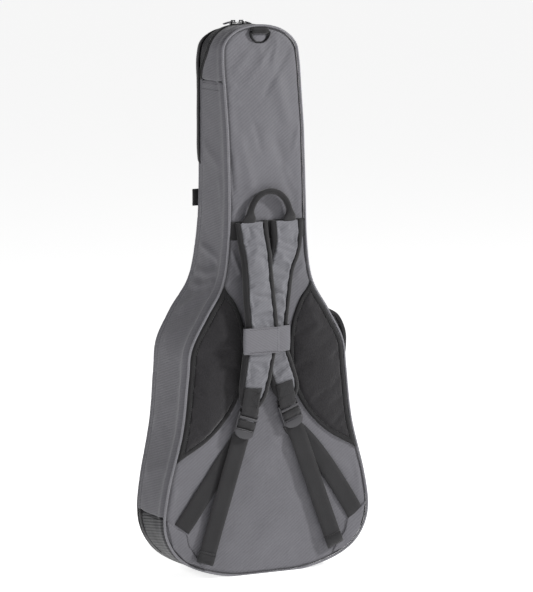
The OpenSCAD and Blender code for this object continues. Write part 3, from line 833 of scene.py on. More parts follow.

# The lid folds along the left side: short lengths of cloth set between the tub and the lid
pieces = 16
ways = np.linspace(left_high, left_low, pieces + 1)
for k, (a, b) in enumerate(zip(ways, ways[1:])):
    def fold_section(s, z):
        w = 0.5 * wave(xyz(s, 0, 0), 20, 41)
        # both ends dip under their neighbours
        dip = 0.8 * np.clip(1 - np.minimum(s - a + 3, b + 3 - s) / 6, 0, 1)
        pts = [(-0.3, -8.5), (0.45, -6.5), (0.2, -4), (-0.2, -1.5), (-0.4, 0.5), (-0.2, 2.5), (0.2, 5),
               (0.5, 7.5), (-0.2, 9.5)]
        return [(o + w * 0.5 - dip, seam_at, u) for o, u in pts] + [
            (-2.2, seam_at, u) for u in (9.5, 5.0, 0.5, -4.0, -8.5)]
    p = outline.at((a + b) / 2)[0][0]
    y = float(seam_at(p[1]))
    attach(tube(f"spine_fold_{k:02d}", sweep(outline, fold_section, 4, (a - 3, b + (3 if k < pieces - 1 else 0))),
                m_side_shaded), ("bag", "lid", (p[0], y - 5.0, p[1]), (p[0], y + 6.0, p[1])), "shell_fabric",
           *(["spine_fold"] if k == 0 else []))

# ---- inside ------------------------------------------------------------------------------


def liner(name, inset, floor, rim, thick, body, node):
    """Lining of a tray: a floor over the outline and walls up to the rim.
    thick is below 0 in a tray that faces -y."""
    _, p, out = outline.even(260)

    def shell(d, more):
        x, z = (p - out * d).T
        low = floor(z) + more
        rows = []
        for t in np.linspace(0, 1, 14) ** 0.8:
            c = body_spine(z)
            at = c + (z - c) * t
            rows.append(xyz(x * t, floor(at) + more, at))
        for t in np.linspace(0, 1, 6)[1:]:
            rows.append(xyz(x, low * (1 - t) + rim(z) * t, z))
        return rows
    rows = shell(inset, 0) + shell(inset + abs(thick), thick)[::-1]
    attach(make(name, rows, grid_faces(len(rows), len(p)), m_lining, merge=0.02), body, "lining", node)


liner("tub_liner", 14, lambda z: back_at(z) + 14, lambda z: seam_at(z) - 0.4, 1.5, "bag", "tub_lining")
liner("lid_liner", 15.2, lambda z: front_at(z) - 14.2, lambda z: seam_at(z) + 1.4, -1.5, "lid", "lid_lining")

# the neck rests in a half-round cradle
half_round = [(34.4 * math.cos(a), 20 - 34.4 * math.sin(a)) for a in np.linspace(0, math.pi, 13)]
section = [(-66, 18), (-66, -44), (-62, -49.4), (62, -49.4), (66, -44), (66, 18), (62, 19.6), (37, 19.6),
           *half_round, (-37, 19.6), (-62, 19.6)]
rows = [[(x * k, y if y < 15 else y - 2 * (1 - k) * 20, z) for x, y in section]
        for z, k in ((700.4, 0.97), (703, 0.995), (730, 1.0), (757, 0.995), (759.6, 0.97))]
attach(tube("neck_rest", rows, m_lining), "bag", "lining", "neck_cradle", pad=0.9)
attach(bevelled("tail_rest", [((-60, -40, 17.2), (60, 16, 32))], m_lining, 5.0), "bag", "lining", "tail_pad",
       pad=0.9)

# ---- back pads ---------------------------------------------------------------------------

arc = catmull([[101, 632], [97, 586], [72, 550], [55, 505], [49, 450], [56, 388], [83, 332],
               [132, 281], [208, 236], [260, 190]], 16)


def crescent(inset):
    """A back pad's inner arc and the stretch of outline it meets, both from top to bottom."""
    p, out = outline.at(np.linspace(way_at(140, 1), way_at(650, 1), 740))
    rim = (p - out * (3.5 + inset))[::-1]
    t = tangents(arc)
    inner = resample(arc + np.stack([-t[:, 1], t[:, 0]], 1) * inset, 1.0)
    run = np.flatnonzero([np.interp(q[1], rim[::-1, 1], rim[::-1, 0]) > q[0] for q in inner])
    inner = inner[run[0]:run[-1] + 1]
    first, last = (np.argmin(np.hypot(*(rim - inner[k]).T)) for k in (0, -1))
    return inner, rim[first:last + 1]


def ring_at(inset):
    """The crescent's closed edge, with the same number of points at every inset."""
    inner, rim = crescent(inset)
    half = []
    for side in (inner, rim[::-1]):
        way = lengths(side)
        t = np.linspace(0, way[-1], 161)[:-1]
        half.append(np.stack([np.interp(t, way, side[:, k]) for k in (0, 1)], 1))
    return np.vstack(half)


def edge_distance(q, ring):
    """Distance of each point from a closed line."""
    best = np.full(len(q), 1e9)
    for p0, v in zip(ring, np.roll(ring, -1, axis=0) - ring):
        t = np.clip(((q - p0) @ v) / max(v @ v, 1e-9), 0, 1)
        best = np.minimum(best, np.hypot(*(q - p0 - t[:, None] * v).T))
    return best


def pad_piece(name, side, inset, seed):
    """Crowned closed pad over the crescent."""
    n, m, base = 120, 24, -0.3
    inner, rim = crescent(inset)
    a, b = resample(inner, lengths(inner)[-1] / n), resample(rim, lengths(rim)[-1] / n)
    k = min(len(a), len(b))
    u = ((1 - np.cos(np.linspace(0, math.pi, m))) / 2)[None, :, None]
    xz = a[:k, None] * (1 - u) + b[:k, None] * u
    d = edge_distance(xz.reshape(-1, 2), np.vstack([resample(inner, 4), resample(rim, 4)[::-1]])).reshape(k, m)
    x, z = xz[..., 0], xz[..., 1]
    q = xyz(x, 0, z)
    wrinkle = 0.5 * wave(q, 60, seed) + 0.25 * wave(q, 22, seed + 1)
    front = xyz(x * side, -BACK - (2.6 + 5.6 * ease(d, 9) + wrinkle * ease(d, 12)), z)
    back = xyz(x * side, -BACK - base, z)
    rows = np.concatenate([front, back[:, ::-1][:, 1:-1]], 1)
    which = [0] * (m - 1) + [1] * (rows.shape[1] - m + 1)
    return tube(name, rows, [m_mesh, m_foam], which, merge=0.05)


for side, tag in ((-1, "left"), (1, "right")):
    pad = pad_piece(f"back_pad_{tag}_cover", side, 6.4, 51 + side)
    attach(inflate(pad, lambda q: q[:, 1] > -BACK - 2.4, 4.0, 4.0, 0.008), "bag", "mesh", f"back_pad_{tag}",
           pad=0.75)
    # the border: a bound edge that runs round the pad as a flat rim
    rows = []
    for o, h in ((0, 0.3), (0, 2.6), (0.9, 4.2), (4.5, 4.8), (8.0, 4.7), (9.2, 4.0), (9.4, 0.3)):
        x, z = ring_at(o).T
        w = 0.3 * wave(xyz(x, 0, z), 25, 55 + side)
        rows.append(xyz(x * side, -BACK - h - w * (h > 1), z))
    attach(tube(f"pad_border_{tag}_tape", np.stack(rows, 1), m_bind_dark, closed=True), "bag", "binding",
           f"pad_binding_{tag}")
    x, z = ring_at(8.0).T
    sew(f"pad_border_stitches_{tag}", xyz(x * side, -BACK - 4.9, z), "bag", "binding")

# ---- trim on the back panel --------------------------------------------------------------

x = np.linspace(-85.5, 85.5, 60)
edge = np.clip((np.abs(x) - 76) / 9.5, 0, 1)
attach(tape("band_webbing", xyz(x, -BACK - 1.6 + 1.8 * edge ** 2 + 0.3 * wave(xyz(x, x, x), 30, 61), 695.5),
            (0, 0, 1), 37, 2.2, webbing("band_weave", srgb(50, 49, 51), (1, 0, 0)), 0.2),
       "bag", "webbing", "strap_band")
for z, k in ((680.5, "low"), (710.5, "high")):
    sew(f"band_stitches_{k}", [(-83, -BACK - 2.9, z), (83, -BACK - 2.9, z)], "bag", "webbing")

patch = [[226, 126], [211, 113], [185, 96], [179, 70], [157, 42], [150, 27], [182, 37], [212, 69], [226, 126]]
patch_seam = through([[220, 119], [208, 110.5], [182.5, 94], [176.5, 71], [155.5, 44], [152, 33]], 6)


def patch_piece(side, tag, *nodes):
    """Corner patch: a triangle of the bag's cloth with its inner edges turned under."""
    cx, cz, margin = 196.0, 82.0, 3.5
    rim, out = outline.at(np.linspace(way_at(20, 1), way_at(132, 1), 200))
    q = []
    for p in resample(np.array(patch, float), 5)[:-1]:
        j = np.argmin(np.hypot(*(rim - p).T))
        q.append(rim[j] - out[j] * margin if (p - rim[j]) @ out[j] > -margin else p)
    x, z = np.array(q).T
    n = len(x)
    rows = []
    for k, h in ((0.0, 2.6), (0.3, 2.5), (0.6, 2.3), (0.85, 2.1), (0.96, 1.8), (1.0, 0.9), (1.0, -0.8)):
        u, v = cx + (x - cx) * k, cz + (z - cz) * k
        w = 0.5 * wave(xyz(u, 0, v), 18, 71 + side) * (h > 1.9)
        y = back_outer(u * side, v, np.full(n, 40.0), np.full(n, 500.0 + 900 * side)) - h - w
        rows.append(xyz(u * side, y, v))
    rows.append(xyz(np.full(n, cx * side), y.mean(), cz))
    attach(make(f"corner_patch_{tag}", rows, grid_faces(len(rows), n), m_back, merge=0.02), "bag",
           "shell_fabric", *nodes)
    sew(f"corner_patch_stitches_{tag}", xyz(patch_seam[:, 0] * side, -BACK - 1.6, patch_seam[:, 1]), "bag",
        "shell_fabric", mat=m_thread_grey)


patch_piece(-1, "left")
patch_piece(1, "right", "corner_patches")

# ---- hanging ring ------------------------------------------------------------------------

RING_Z, RING_R = 1086.0, 21.4
ring_y = float(np.interp(RING_Z, [1030, 1110], [28, 38])) - BACK - 4.4
y_face = float(back_at(RING_Z))
loop = [(0, y_face + 1.0, 11), (0, y_face - 1.2, 7.5), (0, ring_y - 2.4, 3.6), (0, ring_y - 3.6, 0.6),
        (0, ring_y - 2.4, -2.2), (0, y_face - 1.8, -3.4), (0, y_face + 1.2, -4.0)]
attach(tape("ring_tab_webbing", through([(x, y, RING_Z + z) for x, y, z in loop], 5), (1, 0, 0), 37.5, 1.5,
            webbing("tab_weave", DARK, (0, 0, 1))), "bag", "webbing", "d_ring_tab")
sew("ring_tab_stitches", [(x, y_face - 2.2, RING_Z + 7.6) for x in (-16, 16)], "bag", "webbing", (0, -1, 0.3))
a = np.linspace(0, math.pi, 22)
bend = xyz(RING_R * np.cos(a), ring_y + 1.6 * np.sin(a), RING_Z - RING_R * np.sin(a))
straight = xyz(np.linspace(-RING_R, RING_R, 8)[1:-1], ring_y, RING_Z)
attach(rope("hanging_ring", np.vstack([bend, straight]), 2.5, m_ring, sides=12, closed=True), "ring", "metal",
       "d_ring")

# ---- shoulder straps ---------------------------------------------------------------------

# each strap's middle line and half width: (x, z, half width)
left_line = [(-39, 713, 37), (-38.5, 699, 36), (-38.5, 670, 35.5), (-38, 650, 35), (-36, 617, 34),
             (-31, 556, 35.5), (-26, 505, 36), (-27, 474, 36), (-32, 450, 36), (-40, 400, 34.5), (-43.5, 368, 31.5), (-49, 343, 21)]
right_line = [(41, 713, 36), (40.5, 699, 35.5), (37.5, 670, 35), (33, 650, 34), (21, 617, 33), (13, 556, 32.5),
              (8, 505, 31.5), (8, 474, 31), (11, 450, 31), (28, 400, 31.5), (37, 374, 30), (41, 354, 21)]
strap_off = {"left": smooth_line([[300, 12], [360, 15], [400, 20], [505, 20.5], [600, 19.8], [642, 19.5],
                                  [672, 10], [700, 5], [713, 3], [730, 3]]),
             "right": smooth_line([[300, 5.5], [505, 5.5], [630, 4.9], [680, 5], [713, 3], [730, 3]])}
strap_thick = smooth_line([[0, 5], [338, 5], [356, 8], [376, 12], [398, 14], [640, 14], [672, 12.5], [690, 8.5],
                           [713, 5], [730, 5]])
BIND = 11.0


class Strap:
    """Middle line of a strap in x-z with its half width, stand-off and thickness at each point."""

    def __init__(self, line, off):
        p = resample(through(line, 8), 5.0)
        self.xz, self.half, self.s = p[:, :2], p[:, 2], lengths(p[:, :2])
        t = tangents(self.xz)
        self.side = np.stack([-t[:, 1], t[:, 0]], 1)
        self.off, self.thick = off(self.xz[:, 1]), strap_thick(self.xz[:, 1])

    def rows(self, section):
        """Rows of points from (across, stand-off over the inner face) for each column."""
        cols = []
        for u, h in section:
            xz = self.xz + self.side * np.broadcast_to(u, self.half.shape)[:, None]
            cols.append(xyz(xz[:, 0], -BACK - self.off - h, xz[:, 1]))
        return np.stack(cols, 1)

    def sewn(self, q):
        """True on the inner face, under the bindings and at both ends."""
        held = np.zeros(len(q), bool)
        for k, p in enumerate(q):
            j = int(np.argmin(np.hypot(self.xz[:, 0] - p[0], self.xz[:, 1] - p[2])))
            across = abs((p[0] - self.xz[j, 0]) * self.side[j, 0] + (p[2] - self.xz[j, 1]) * self.side[j, 1])
            up = -BACK - p[1] - self.off[j]
            held[k] = across > self.half[j] - BIND - 1.5 or up < self.thick[j] * 0.6 or j < 2 or p[2] < 394
        return held

    def padding(self, seed):
        """Section of the padding: wrinkled across, with deeper folds at a few places, and flat behind."""
        s, thick = self.s, self.thick
        w = self.half - BIND + 1.2
        end = np.minimum(1, np.minimum(s + 4, s[-1] - s + 4) / 14)
        cols = []
        for f in np.linspace(-1, 1, 15):
            q = xyz(s, f * 26, 0)
            across = 0.9 * wave(q, (11, 46, 30), seed) * end
            for at, lean in ((45, 8), (118, -6), (146, 5), (182, 9), (250, -7)):
                across = across - 1.3 * np.exp(-((s - at - lean * f) / 5.0) ** 2)
            puff = 1.4 * (1 - f * f) ** 0.7 + 0.5 * wave(q, 36, seed + 1)
            cols.append((w * f, thick * 0.87 + (puff + across) * (0.35 + 0.65 * (1 - f * f))
                         * np.minimum(thick / 12, 1)))
        return cols + [(w * f, 1.0) for f in np.linspace(1, -1, 7)]

    def binding(self, side, seed):
        """Section of the tape folded over one edge."""
        q = xyz(self.s, 0, side * 40)
        w = 0.35 * wave(q, 14, seed) + 0.3 * wave(q, 50, seed + 1)
        half = self.half + 0.5 * wave(q, 40, seed + 2)
        pts = [(BIND, 0.93, 0.0), (BIND - 0.6, 1.0, 0.3), (BIND * 0.55, 0.98, 0.2), (3.0, 0.9, 0), (0.9, 0.74, 0),
               (0.0, 0.5, 0), (0.9, 0.26, 0), (3.0, 0.1, 0), (BIND * 0.55, 0.04, 0), (BIND, 0.04, 0.0)]
        return [(side * (half - d), self.thick * f * 0.9 + k + w * (f > 0.6)) for d, f, k in pts]


ACROSS_TOP = ("bag", "harness", (0, -BACK - 4, 706), (0, -BACK - 4, 688))

for tag, line, seed in (("left", left_line, 81), ("right", right_line, 87)):
    strap = Strap(line, strap_off[tag])
    body = tube(f"strap_{tag}_padding", strap.rows(strap.padding(seed)), [m_strap, m_mesh], [0] * 14 + [1] * 8)
    attach(inflate(body, strap.sewn, 4.5, 5.0, 0.1), ACROSS_TOP, "strap", f"strap_{tag}", pad=0.7)
    for side, edge, nodes in ((-1, "a", []), (1, "b", [f"strap_binding_{tag}"])):
        attach(tube(f"strap_{tag}_binding_{edge}", strap.rows(strap.binding(side, seed + 3)), m_bind), ACROSS_TOP,
               "binding", *nodes)
        sew(f"strap_{tag}_stitches_{edge}",
            strap.rows([(side * (strap.half - BIND + 1.8), strap.thick * 0.9 + 0.5)])[:, 0], ACROSS_TOP, "binding")

# ---- keeper ------------------------------------------------------------------------------


def rounded(form, r, n):
    """Closed line with its corners rounded."""
    form = np.asarray(form, float)
    out = []
    for a, b, c in zip(np.roll(form, 1, axis=0), form, np.roll(form, -1, axis=0)):
        u, v = a - b, c - b
        lu, lv = np.linalg.norm(u), np.linalg.norm(v)
        k = min(r, 0.45 * lu, 0.45 * lv)
        p, q = b + u / lu * k, b + v / lv * k
        for t in np.linspace(0, 1, n):
            out.append((1 - t) ** 2 * p + 2 * t * (1 - t) * b + t * t * q)
    return np.array(out)


# the keeper goes round both straps: its section in x and the stand-off from the back, over its width in z
KX0, KX1, KZ0, KZ1, KOUT = -71.5, 44.0, 452.0, 504.0, 36.4
KMID = (KZ0 + KZ1) / 2
form = [(-57, 8), (KX0, KOUT - 3), (-50, KOUT + 0.2), (-10, KOUT), (16, KOUT - 6), (KX1 - 8, 23.5), (KX1, 17),
        (KX1, 2.6), (-38, 2.6), (-45, 9.2)]
_, p, out = Loop(rounded([(x, -h - BACK) for x, h in form], 6, 5)).even(120)
zs = np.linspace(KZ0, KZ1, 9)
rows = []
for z in zs:
    w = 0.6 * wave(xyz(p[:, 0], p[:, 1], z), (30, 30, 16), 91) + 0.5 * math.sin(
        math.pi * ((z - KZ0) / (KZ1 - KZ0)))
    rows.append(xyz(*(p + out * w[:, None]).T, z))
rows += [xyz(*(p - out * 1.5).T, z) for z in zs[::-1]]
attach(subdivide(make("strap_keeper_wrap", rows, grid_faces(len(rows), len(p), True), m_keeper)), "harness",
       "strap", "strap_keeper")
x = np.linspace(KX0 + 1.0, 6.0, 26)
y = -BACK - KOUT - 1.9 + 2.6 * np.clip((KX0 + 12 - x) / 12, 0, 1) ** 2 + 0.25 * wave(xyz(x, 0, 0), 20, 93)
attach(tape("keeper_flap_cover", xyz(x, y, KMID), (0, 0, 1), 52, 2.0, m_flap, 0.4),
       ("harness", "keeper", (KX0 + 1.0, -BACK - 36, 478), (KX0 + 9, -BACK - 36, 478)), "strap", "keeper_flap")
for k, ends in (("top", [(KX0 + 14, KZ1 - 3), (3.5, KZ1 - 3)]), ("low", [(KX0 + 14, KZ0 + 3), (3.5, KZ0 + 3)]),
                ("end", [(3.2, KZ0 + 3), (3.2, KZ1 - 3)])):
    sew(f"keeper_flap_stitches_{k}", [(x, -BACK - KOUT - 3.2, z) for x, z in ends], "keeper", "strap",
        mat=m_thread_grey)

# ---- buckles and webbing -----------------------------------------------------------------


class Lock:
    """A ladder lock's own frame: its place in the row, and how far it is turned in the panel's plane."""

    def __init__(self, at, turn, off):
        self.at, self.turn, self.off = np.array(at), math.radians(turn), off
        self.matrix = Matrix.Translation(Vector(at)) @ Matrix.Rotation(self.turn, 4, "Y")
        self.axes = np.array(self.matrix)[:3, :3].T

    def points(self, pts):
        """Points of its own frame, in the row's frame."""
        return np.asarray(pts, float) @ self.axes + np.array(self.matrix)[:3, 3]

    def tab_y(self, v):
        """Where the tab lies on the strap's outer face, v mm above the top bar."""
        z = self.at[2] + v * math.cos(self.turn)
        out = float(self.off(z) + strap_thick(z) * 0.87 + 3.4)
        return min(-5.0, -BACK - out - self.at[1])


# tag, place, turn in degrees; the tab's top and its lean; the tail's end and where it lies
for tag, at, turn, top, lean, end, y1 in (
        ("left", (-51.5, -BACK - 15, 326), 18, 56, -0.235, -308, 5.5),
        ("right", (41, -BACK - 10, 340), -20.5, 50, 0.095, -316, 0.5)):
    lock = Lock(at, turn, strap_off[tag])
    on_lock, on_tail = f"lock_{tag}", f"tail_{tag}"
    across, down, outward = (lock.points([v])[0] - lock.at for v in ((1, 0, 0), (0, 0, 1), (0, -1, 0)))
    boxes = [((-22.6, -3.6, -38), (-19.2, 3.6, 5.0)), ((19.2, -3.6, -38), (22.6, 3.6, 5.0)),
             ((-21, -6.4, -8.6), (21, -3.6, -3.4)), ((-21, -5.4, -30.4), (21, -3.4, -28.2)),
             ((-21, -3.4, -20.5), (21, 3.2, -13.6))]
    # teeth that grip the webbing, on the middle bar
    boxes += [((x, -4.5, -20.2), (x + 2.2, -3.0, -14.2)) for x in np.arange(-16, 15, 4.1)]
    attach(bevelled(f"ladder_lock_{tag}_body", boxes, m_buckle, 1.5, lock.matrix), on_lock, "buckle",
           f"ladder_lock_{tag}")
    # thumb lip: a rounded plate that stands a little forward
    rim = [(21, -31), (-21, -31)] + [(-21 * math.cos(b), -35 - 12.5 * math.sin(b))
                                     for b in np.linspace(0, math.pi, 19)]
    lip = [[(x * k, y - 0.06 * (-31 - z), -40 + (z + 40) * k) for x, z in rim] for k, y in
           ((0.9, -5.4), (0.97, -5.2), (1.0, -4.4), (1.0, -2.6), (0.96, -1.8), (0.9, -1.6))]
    attach(tube(f"ladder_lock_{tag}_lip", lock.points(lip), m_buckle), on_lock, "buckle")
    attach(rope(f"ladder_lock_{tag}_bar", lock.points(xyz(np.linspace(-22, 22, 9), 0, 2.5)), 2.3, m_buckle,
                tuple(down)), on_lock, "buckle")
    # the tab: webbing that wraps the top bar, sewn to the strap's end on both faces
    path = through([(lean * v, lock.tab_y(v), v) for v in np.linspace(top, 18, 6)] + [
        (0, -5.4, 10), (0, -4.6, 5), (0, -3.4, 0), (0, 0, -2.7), (0, 3.4, 0), (0, 4.6, 6), (0, 5.0, 13)], 5)
    skew = lean * np.clip(path[:, 2] / 20, 0, 1)
    attach(tape(f"strap_tab_{tag}_webbing", lock.points(path), xyz(np.cos(skew), 0, -np.sin(skew)) @ lock.axes,
                37.4, 1.9, webbing(f"tab_weave_{tag}", BLACK, down)), "harness", "webbing",
           *(["strap_tabs"] if tag == "left" else []))
    low, high = 20, top - 6
    for x0, x1, z0, z1, k in ((-15, 15, low, low, "a"), (-15, 15, high, high, "b"), (-15, -15, low, high, "c"),
                              (15, 15, low, high, "d"), (-15, 15, low, high, "e"), (15, -15, low, high, "f")):
        box = [(x0 + (x1 - x0) * f, z0 + (z1 - z0) * f) for f in np.linspace(0, 1, 7)]
        sew(f"tab_stitches_{tag}_{k}", lock.points([(x + lean * v, lock.tab_y(v) - 1.0, v) for x, v in box]),
            "harness", "webbing", outward)
    # the hanging tail: over the lower bar, then flat down the panel
    free = [(1.0, -11.4), (-3.2, -12.2), (-4.7, -16), (-4.4, -21), (-1.2, -27), (2.8, -32), (4.4, -39),
            (4.4, -47), ((y1 + 3.4) / 2, -60), (y1 - 1.0, -74), (y1 - 1.4, -90),
            (y1 - 1, -120), (y1 - 1.4, -170), (y1 - 0.8, -220), (y1 - 1.5, -270), (y1 - 1, end)]
    attach(tape(f"tail_webbing_{tag}_free", lock.points(through([(0, y, z) for y, z in free], 6)), across, 37.6,
                1.9, webbing(f"tail_weave_{tag}", BLACK, down)),
           (on_lock, on_tail, *(tuple(lock.points([(0, -5, z)])[0]) for z in (-38, -56))), "webbing",
           f"tail_webbing_{tag}")
    hem = [(0, y1 - 3.0, end + 24), (0, y1 - 3.1, end + 12), (0, y1 - 3.0, end + 1)]
    attach(tape(f"tail_hem_{tag}", lock.points(hem), across, 37.4, 1.4, webbing(f"hem_weave_{tag}", BLACK, down)),
           on_tail, "webbing")
    sew(f"tail_hem_stitches_{tag}", lock.points([(x, y1 - 4.1, end + 20) for x in (-16, 16)]), on_tail,
        "webbing", outward)

# webbing from the corner patches up behind the buckles
for tag, pts, rises in (("left", [(-193, 106), (-170, 137), (-108, 222), (-84, 252), (-64, 280), (-57, 294)],
                         [0.4, 2.6, 3.6, 3.8, 3.8, 4.2, 4.8]),
                        ("right", [(205, 99), (178, 142), (146, 190), (112, 236), (82, 270), (58, 292), (50, 304)],
                         [0.4, 2.6, 3.6, 3.8, 3.4, 3.2, 3.0])):
    p = through(pts, 8)
    s = lengths(p)
    rise = np.interp(s / s[-1], [0, 0.06, 0.2, 0.5, 0.86, 0.94, 1.0], rises)
    t, lead = tangents(p), unit(p[-1] - p[0])
    path = xyz(p[:, 0], -BACK - rise + 0.4 * wave(xyz(s, 0, 0), 60, 97), p[:, 1])
    attach(tape(f"anchor_webbing_{tag}_band", path,
                xyz(-t[:, 1], 0, t[:, 0]), 37.8, 1.9,
                webbing(f"anchor_weave_{tag}", BLACK, (lead[0], 0, lead[1]))),
           ("bag", "harness", (p[3, 0], -BACK - 4, p[3, 1]), (p[-1, 0], -BACK - 4, p[-1, 1])), "webbing",
           f"anchor_webbing_{tag}")

# ---- handles -----------------------------------------------------------------------------

# neck handle: flat flared ends on the band, and a rolled grip between them
a = np.linspace(0, math.pi, 25)
arch = xyz(44.5 * np.cos(a), -BACK - 12.5, 722 + 50.5 * np.sin(a))
legs = [(46, -BACK - 3.4, 697), (46, -BACK - 4.6, 705), (45.6, -BACK - 8.0, 713)]
path = resample(through(np.vstack([legs, arch, [(-x, y, z) for x, y, z in legs[::-1]]]), 4), 3.0)
s = lengths(path)
from_end = np.minimum(s, s[-1] - s)
wide = np.interp(from_end, [0, 22, 28, 34, 42], [28.5, 28.5, 25, 17, 12.4])
deep = np.interp(from_end, [0, 16, 28, 36, 48], [3.2, 3.8, 7.0, 10.5, 11.6])
t = tangents(path)
across = unit(np.cross(t, (0.0, -1.0, 0.0)))
out = unit(np.cross(across, t))
w = 0.25 * wave(xyz(s, 0, 0), 12, 101)
rows = np.stack([path + across * (np.sign(math.cos(b)) * abs(math.cos(b)) ** 0.75 * (wide / 2 + w))[:, None]
                 + out * (np.sign(math.sin(b)) * abs(math.sin(b)) ** 0.75 * (deep / 2 + w))[:, None]
                 for b in np.linspace(0, 2 * math.pi, 14, endpoint=False)], 1)
AT_NECK = ("bag", "neck_grab", (0, -BACK - 8, 712), (0, -BACK - 8, 726))
attach(tube("neck_handle_grip", rows, webbing("grip_weave", srgb(42, 41, 43), (0, 0, 1))), AT_NECK, "webbing",
       "neck_handle", "neck_handle_ends")
sew("neck_handle_stitches", path[12:-12] + out[12:-12] * (deep[12:-12] / 2 + 0.1)[:, None], AT_NECK, "webbing")
for x0, tag in ((-46, "left"), (46, "right")):
    sew(f"neck_handle_box_{tag}", [(x0 + dx, -BACK - 5.6, z) for dx, z in ((-10, 699), (10, 708), (10, 699),
                                                                           (-10, 708))], "bag", "webbing")


def strap_middle(s, start, over):
    """0 on both ends of a strap, 1 between them."""
    return np.clip((s - start) / over, 0, 1) * np.clip((s[-1] - start - s) / over, 0, 1)


# side handle: a band that arches off the right side, flat at both sewn ends
p = resample(through([(119.5, 566), (137, 536), (150, 526.5), (164, 518.5), (186, 502), (200, 472), (201, 440),
                      (196.3, 408), (192.5, 388), (190, 368), (189, 343)], 8), 4)
path = xyz(p[:, 0], -19.0, p[:, 1])
s = lengths(path)
mid = strap_middle(s, 60, 25)
rows = tape_rows(path, (0, 1, 0), 36 - 9 * mid, 3.0 + 5.5 * mid)
cut = int(np.argmin(np.abs(path[:, 2] - 455)))
m_sideweave = webbing("side_handle_weave", srgb(40, 39, 41), (0.2, 0, 1))
for name, part, start, end, nodes in (
        ("upper", rows[:cut + 1], (158, -19, 522), (171, -19, 514), ["side_handle", "side_handle_ends"]),
        ("lower", rows[cut:], (194.6, -19, 402), (198, -19, 419), [])):
    attach(tube(f"side_handle_{name}", part, m_sideweave), ("bag", "side_grab", start, end), "webbing", *nodes)

# ---- lid ---------------------------------------------------------------------------------


def front_outer(x, z, d, s):
    y = front_at(z) - 2.0 + 3.2 * ease(d, 10)
    return y - puckers(d, s, 103, 28, 0.9, 24) + folds(x, z, 105, (95, 140), 0.9)


def front_inner(x, z, d, s):
    return front_at(z) - 13.6


_, p, out = outline.even(700)
attach(panel("front_cover", Loop(p - 9.6 * out), body_spine, front_outer, front_inner, [m_front, m_foam],
             22, 400, 1.2), "lid", "shell_fabric", "lid_panel", "lid_foam", pad=0.7)


def lid_side(s, z):
    """Side of the lid: cloth over foam between the zip and the front piping."""
    depth = front_at(z) - 1.0 - (seam_at(z) + 7.0)
    ring = coil(s)
    out = [(-13.6, seam_at, 1.4), (-2.2, seam_at, 1.4), (-2.0, seam_at, 6.9), (-0.2, seam_at, 7.0)]
    for j in range(1, 9):
        f = j / 9
        w = 0.6 * wave(ring + xyz(0, 0, depth * f), (30, 30, 40), 111)
        inward = np.maximum(0, 17.5 - depth * (1 - f)) * 0.56
        out.append(((0.5 + w) * math.sin(math.pi * f) * np.minimum(depth / 20, 1) - inward, seam_at,
                    7.0 + depth * f))
    return out + [(-9.6, seam_at, 7.0 + depth), (-11.5, seam_at, 5.5 + depth),
                  (-14.2, seam_at, 5.0 + np.maximum(depth - 10, 0.5))]


attach(subdivide(tube("lid_band_cover", sweep(outline, lid_side, 7), m_band, closed=True)), "lid",
       "shell_fabric", "lid_band", pad=0.7)

# ---- head pocket -------------------------------------------------------------------------

head_loop = mirrored(catmull([
    [-30, 815], [0, 812], [60, 811.5], [80, 816], [86.5, 834], [87.5, 900], [87.5, 960], [87.5, 1030],
    [81, 1066], [52, 1086.5], [0, 1092], [-52, 1086]], 8))


def head_spine(z):
    return np.clip(z, 868, 1020)


def head_outer(x, z, d, s):
    y = front_at(z) - 14.0 + 21.0 * ease(d, 3.6) + 8.0 * ease(d, 24)
    y = y - puckers(d, s, 121, 20, 0.9, 18) + folds(x, z, 123, (60, 80), 1.2)
    return y + hollow(x, z, 60, 917, 10, 80, -1.2)


def head_inner(x, z, d, s):
    return front_at(z) - 0.6 - 13.0 * np.exp(-np.maximum(d, 0) / 2.0)


attach(panel("head_pocket_cover", head_loop, head_spine, head_outer, head_inner, [m_pocket, m_pocket], 20, 220),
       "lid", "pocket", "head_pocket", pad=0.6)

# the pocket's zip runs straight up its face
ZIP_X = 60.0


def on_face(x, z, lift):
    """Points at x and z that stand off the pocket's face at the zip."""
    zip_x = np.full_like(z, ZIP_X)
    return xyz(x, head_outer(zip_x, z, 87.5 - zip_x, np.full_like(z, 300.0)) + lift, z)


z = np.linspace(846, 990, 30)
attach(tape("head_zip_tape", on_face(ZIP_X, z, 0.5), (1, 0, 0), 24, 1.4, m_zip), "lid", "zip", "head_pocket_zip")
tooth_z = np.arange(850, 986, 2.6)
tooth_x = ZIP_X + 0.9 * np.where(np.arange(len(tooth_z)) % 2, 1, -1)
attach(bricks("head_zip_teeth", on_face(tooth_x, tooth_z, 1.8), (0, 0, 1), (0, 1, 0), (1.5, 4.2, 1.8), m_teeth),
       "lid", "zip")
for dx, k in ((-9.5, "a"), (9.5, "b")):
    sew(f"head_zip_stitches_{k}", on_face(ZIP_X + dx, z, 1.3), "lid", "zip", (0, 1, 0))
_, p, out = head_loop.even(260)
attach(rope("head_pocket_piping", xyz(p[:, 0] - out[:, 0] * 1.2, front_at(p[:, 1]) - 13.6,
                                      p[:, 1] - out[:, 1] * 1.2), 2.0, m_thread, closed=True), "lid", "piping")

# ---- body pocket -------------------------------------------------------------------------

pocket_loop = mirrored(np.vstack([[[0, 91.3], [45, 91.3]], catmull([
    [40, 90], [90, 92], [140, 102], [172, 134], [178, 180], [160, 250], [148, 320], [140, 400], [132, 448],
    [110, 468], [60, 472], [0, 472]], 8)]))
POCKET = 24.0       # how far the pocket stands out from the lid


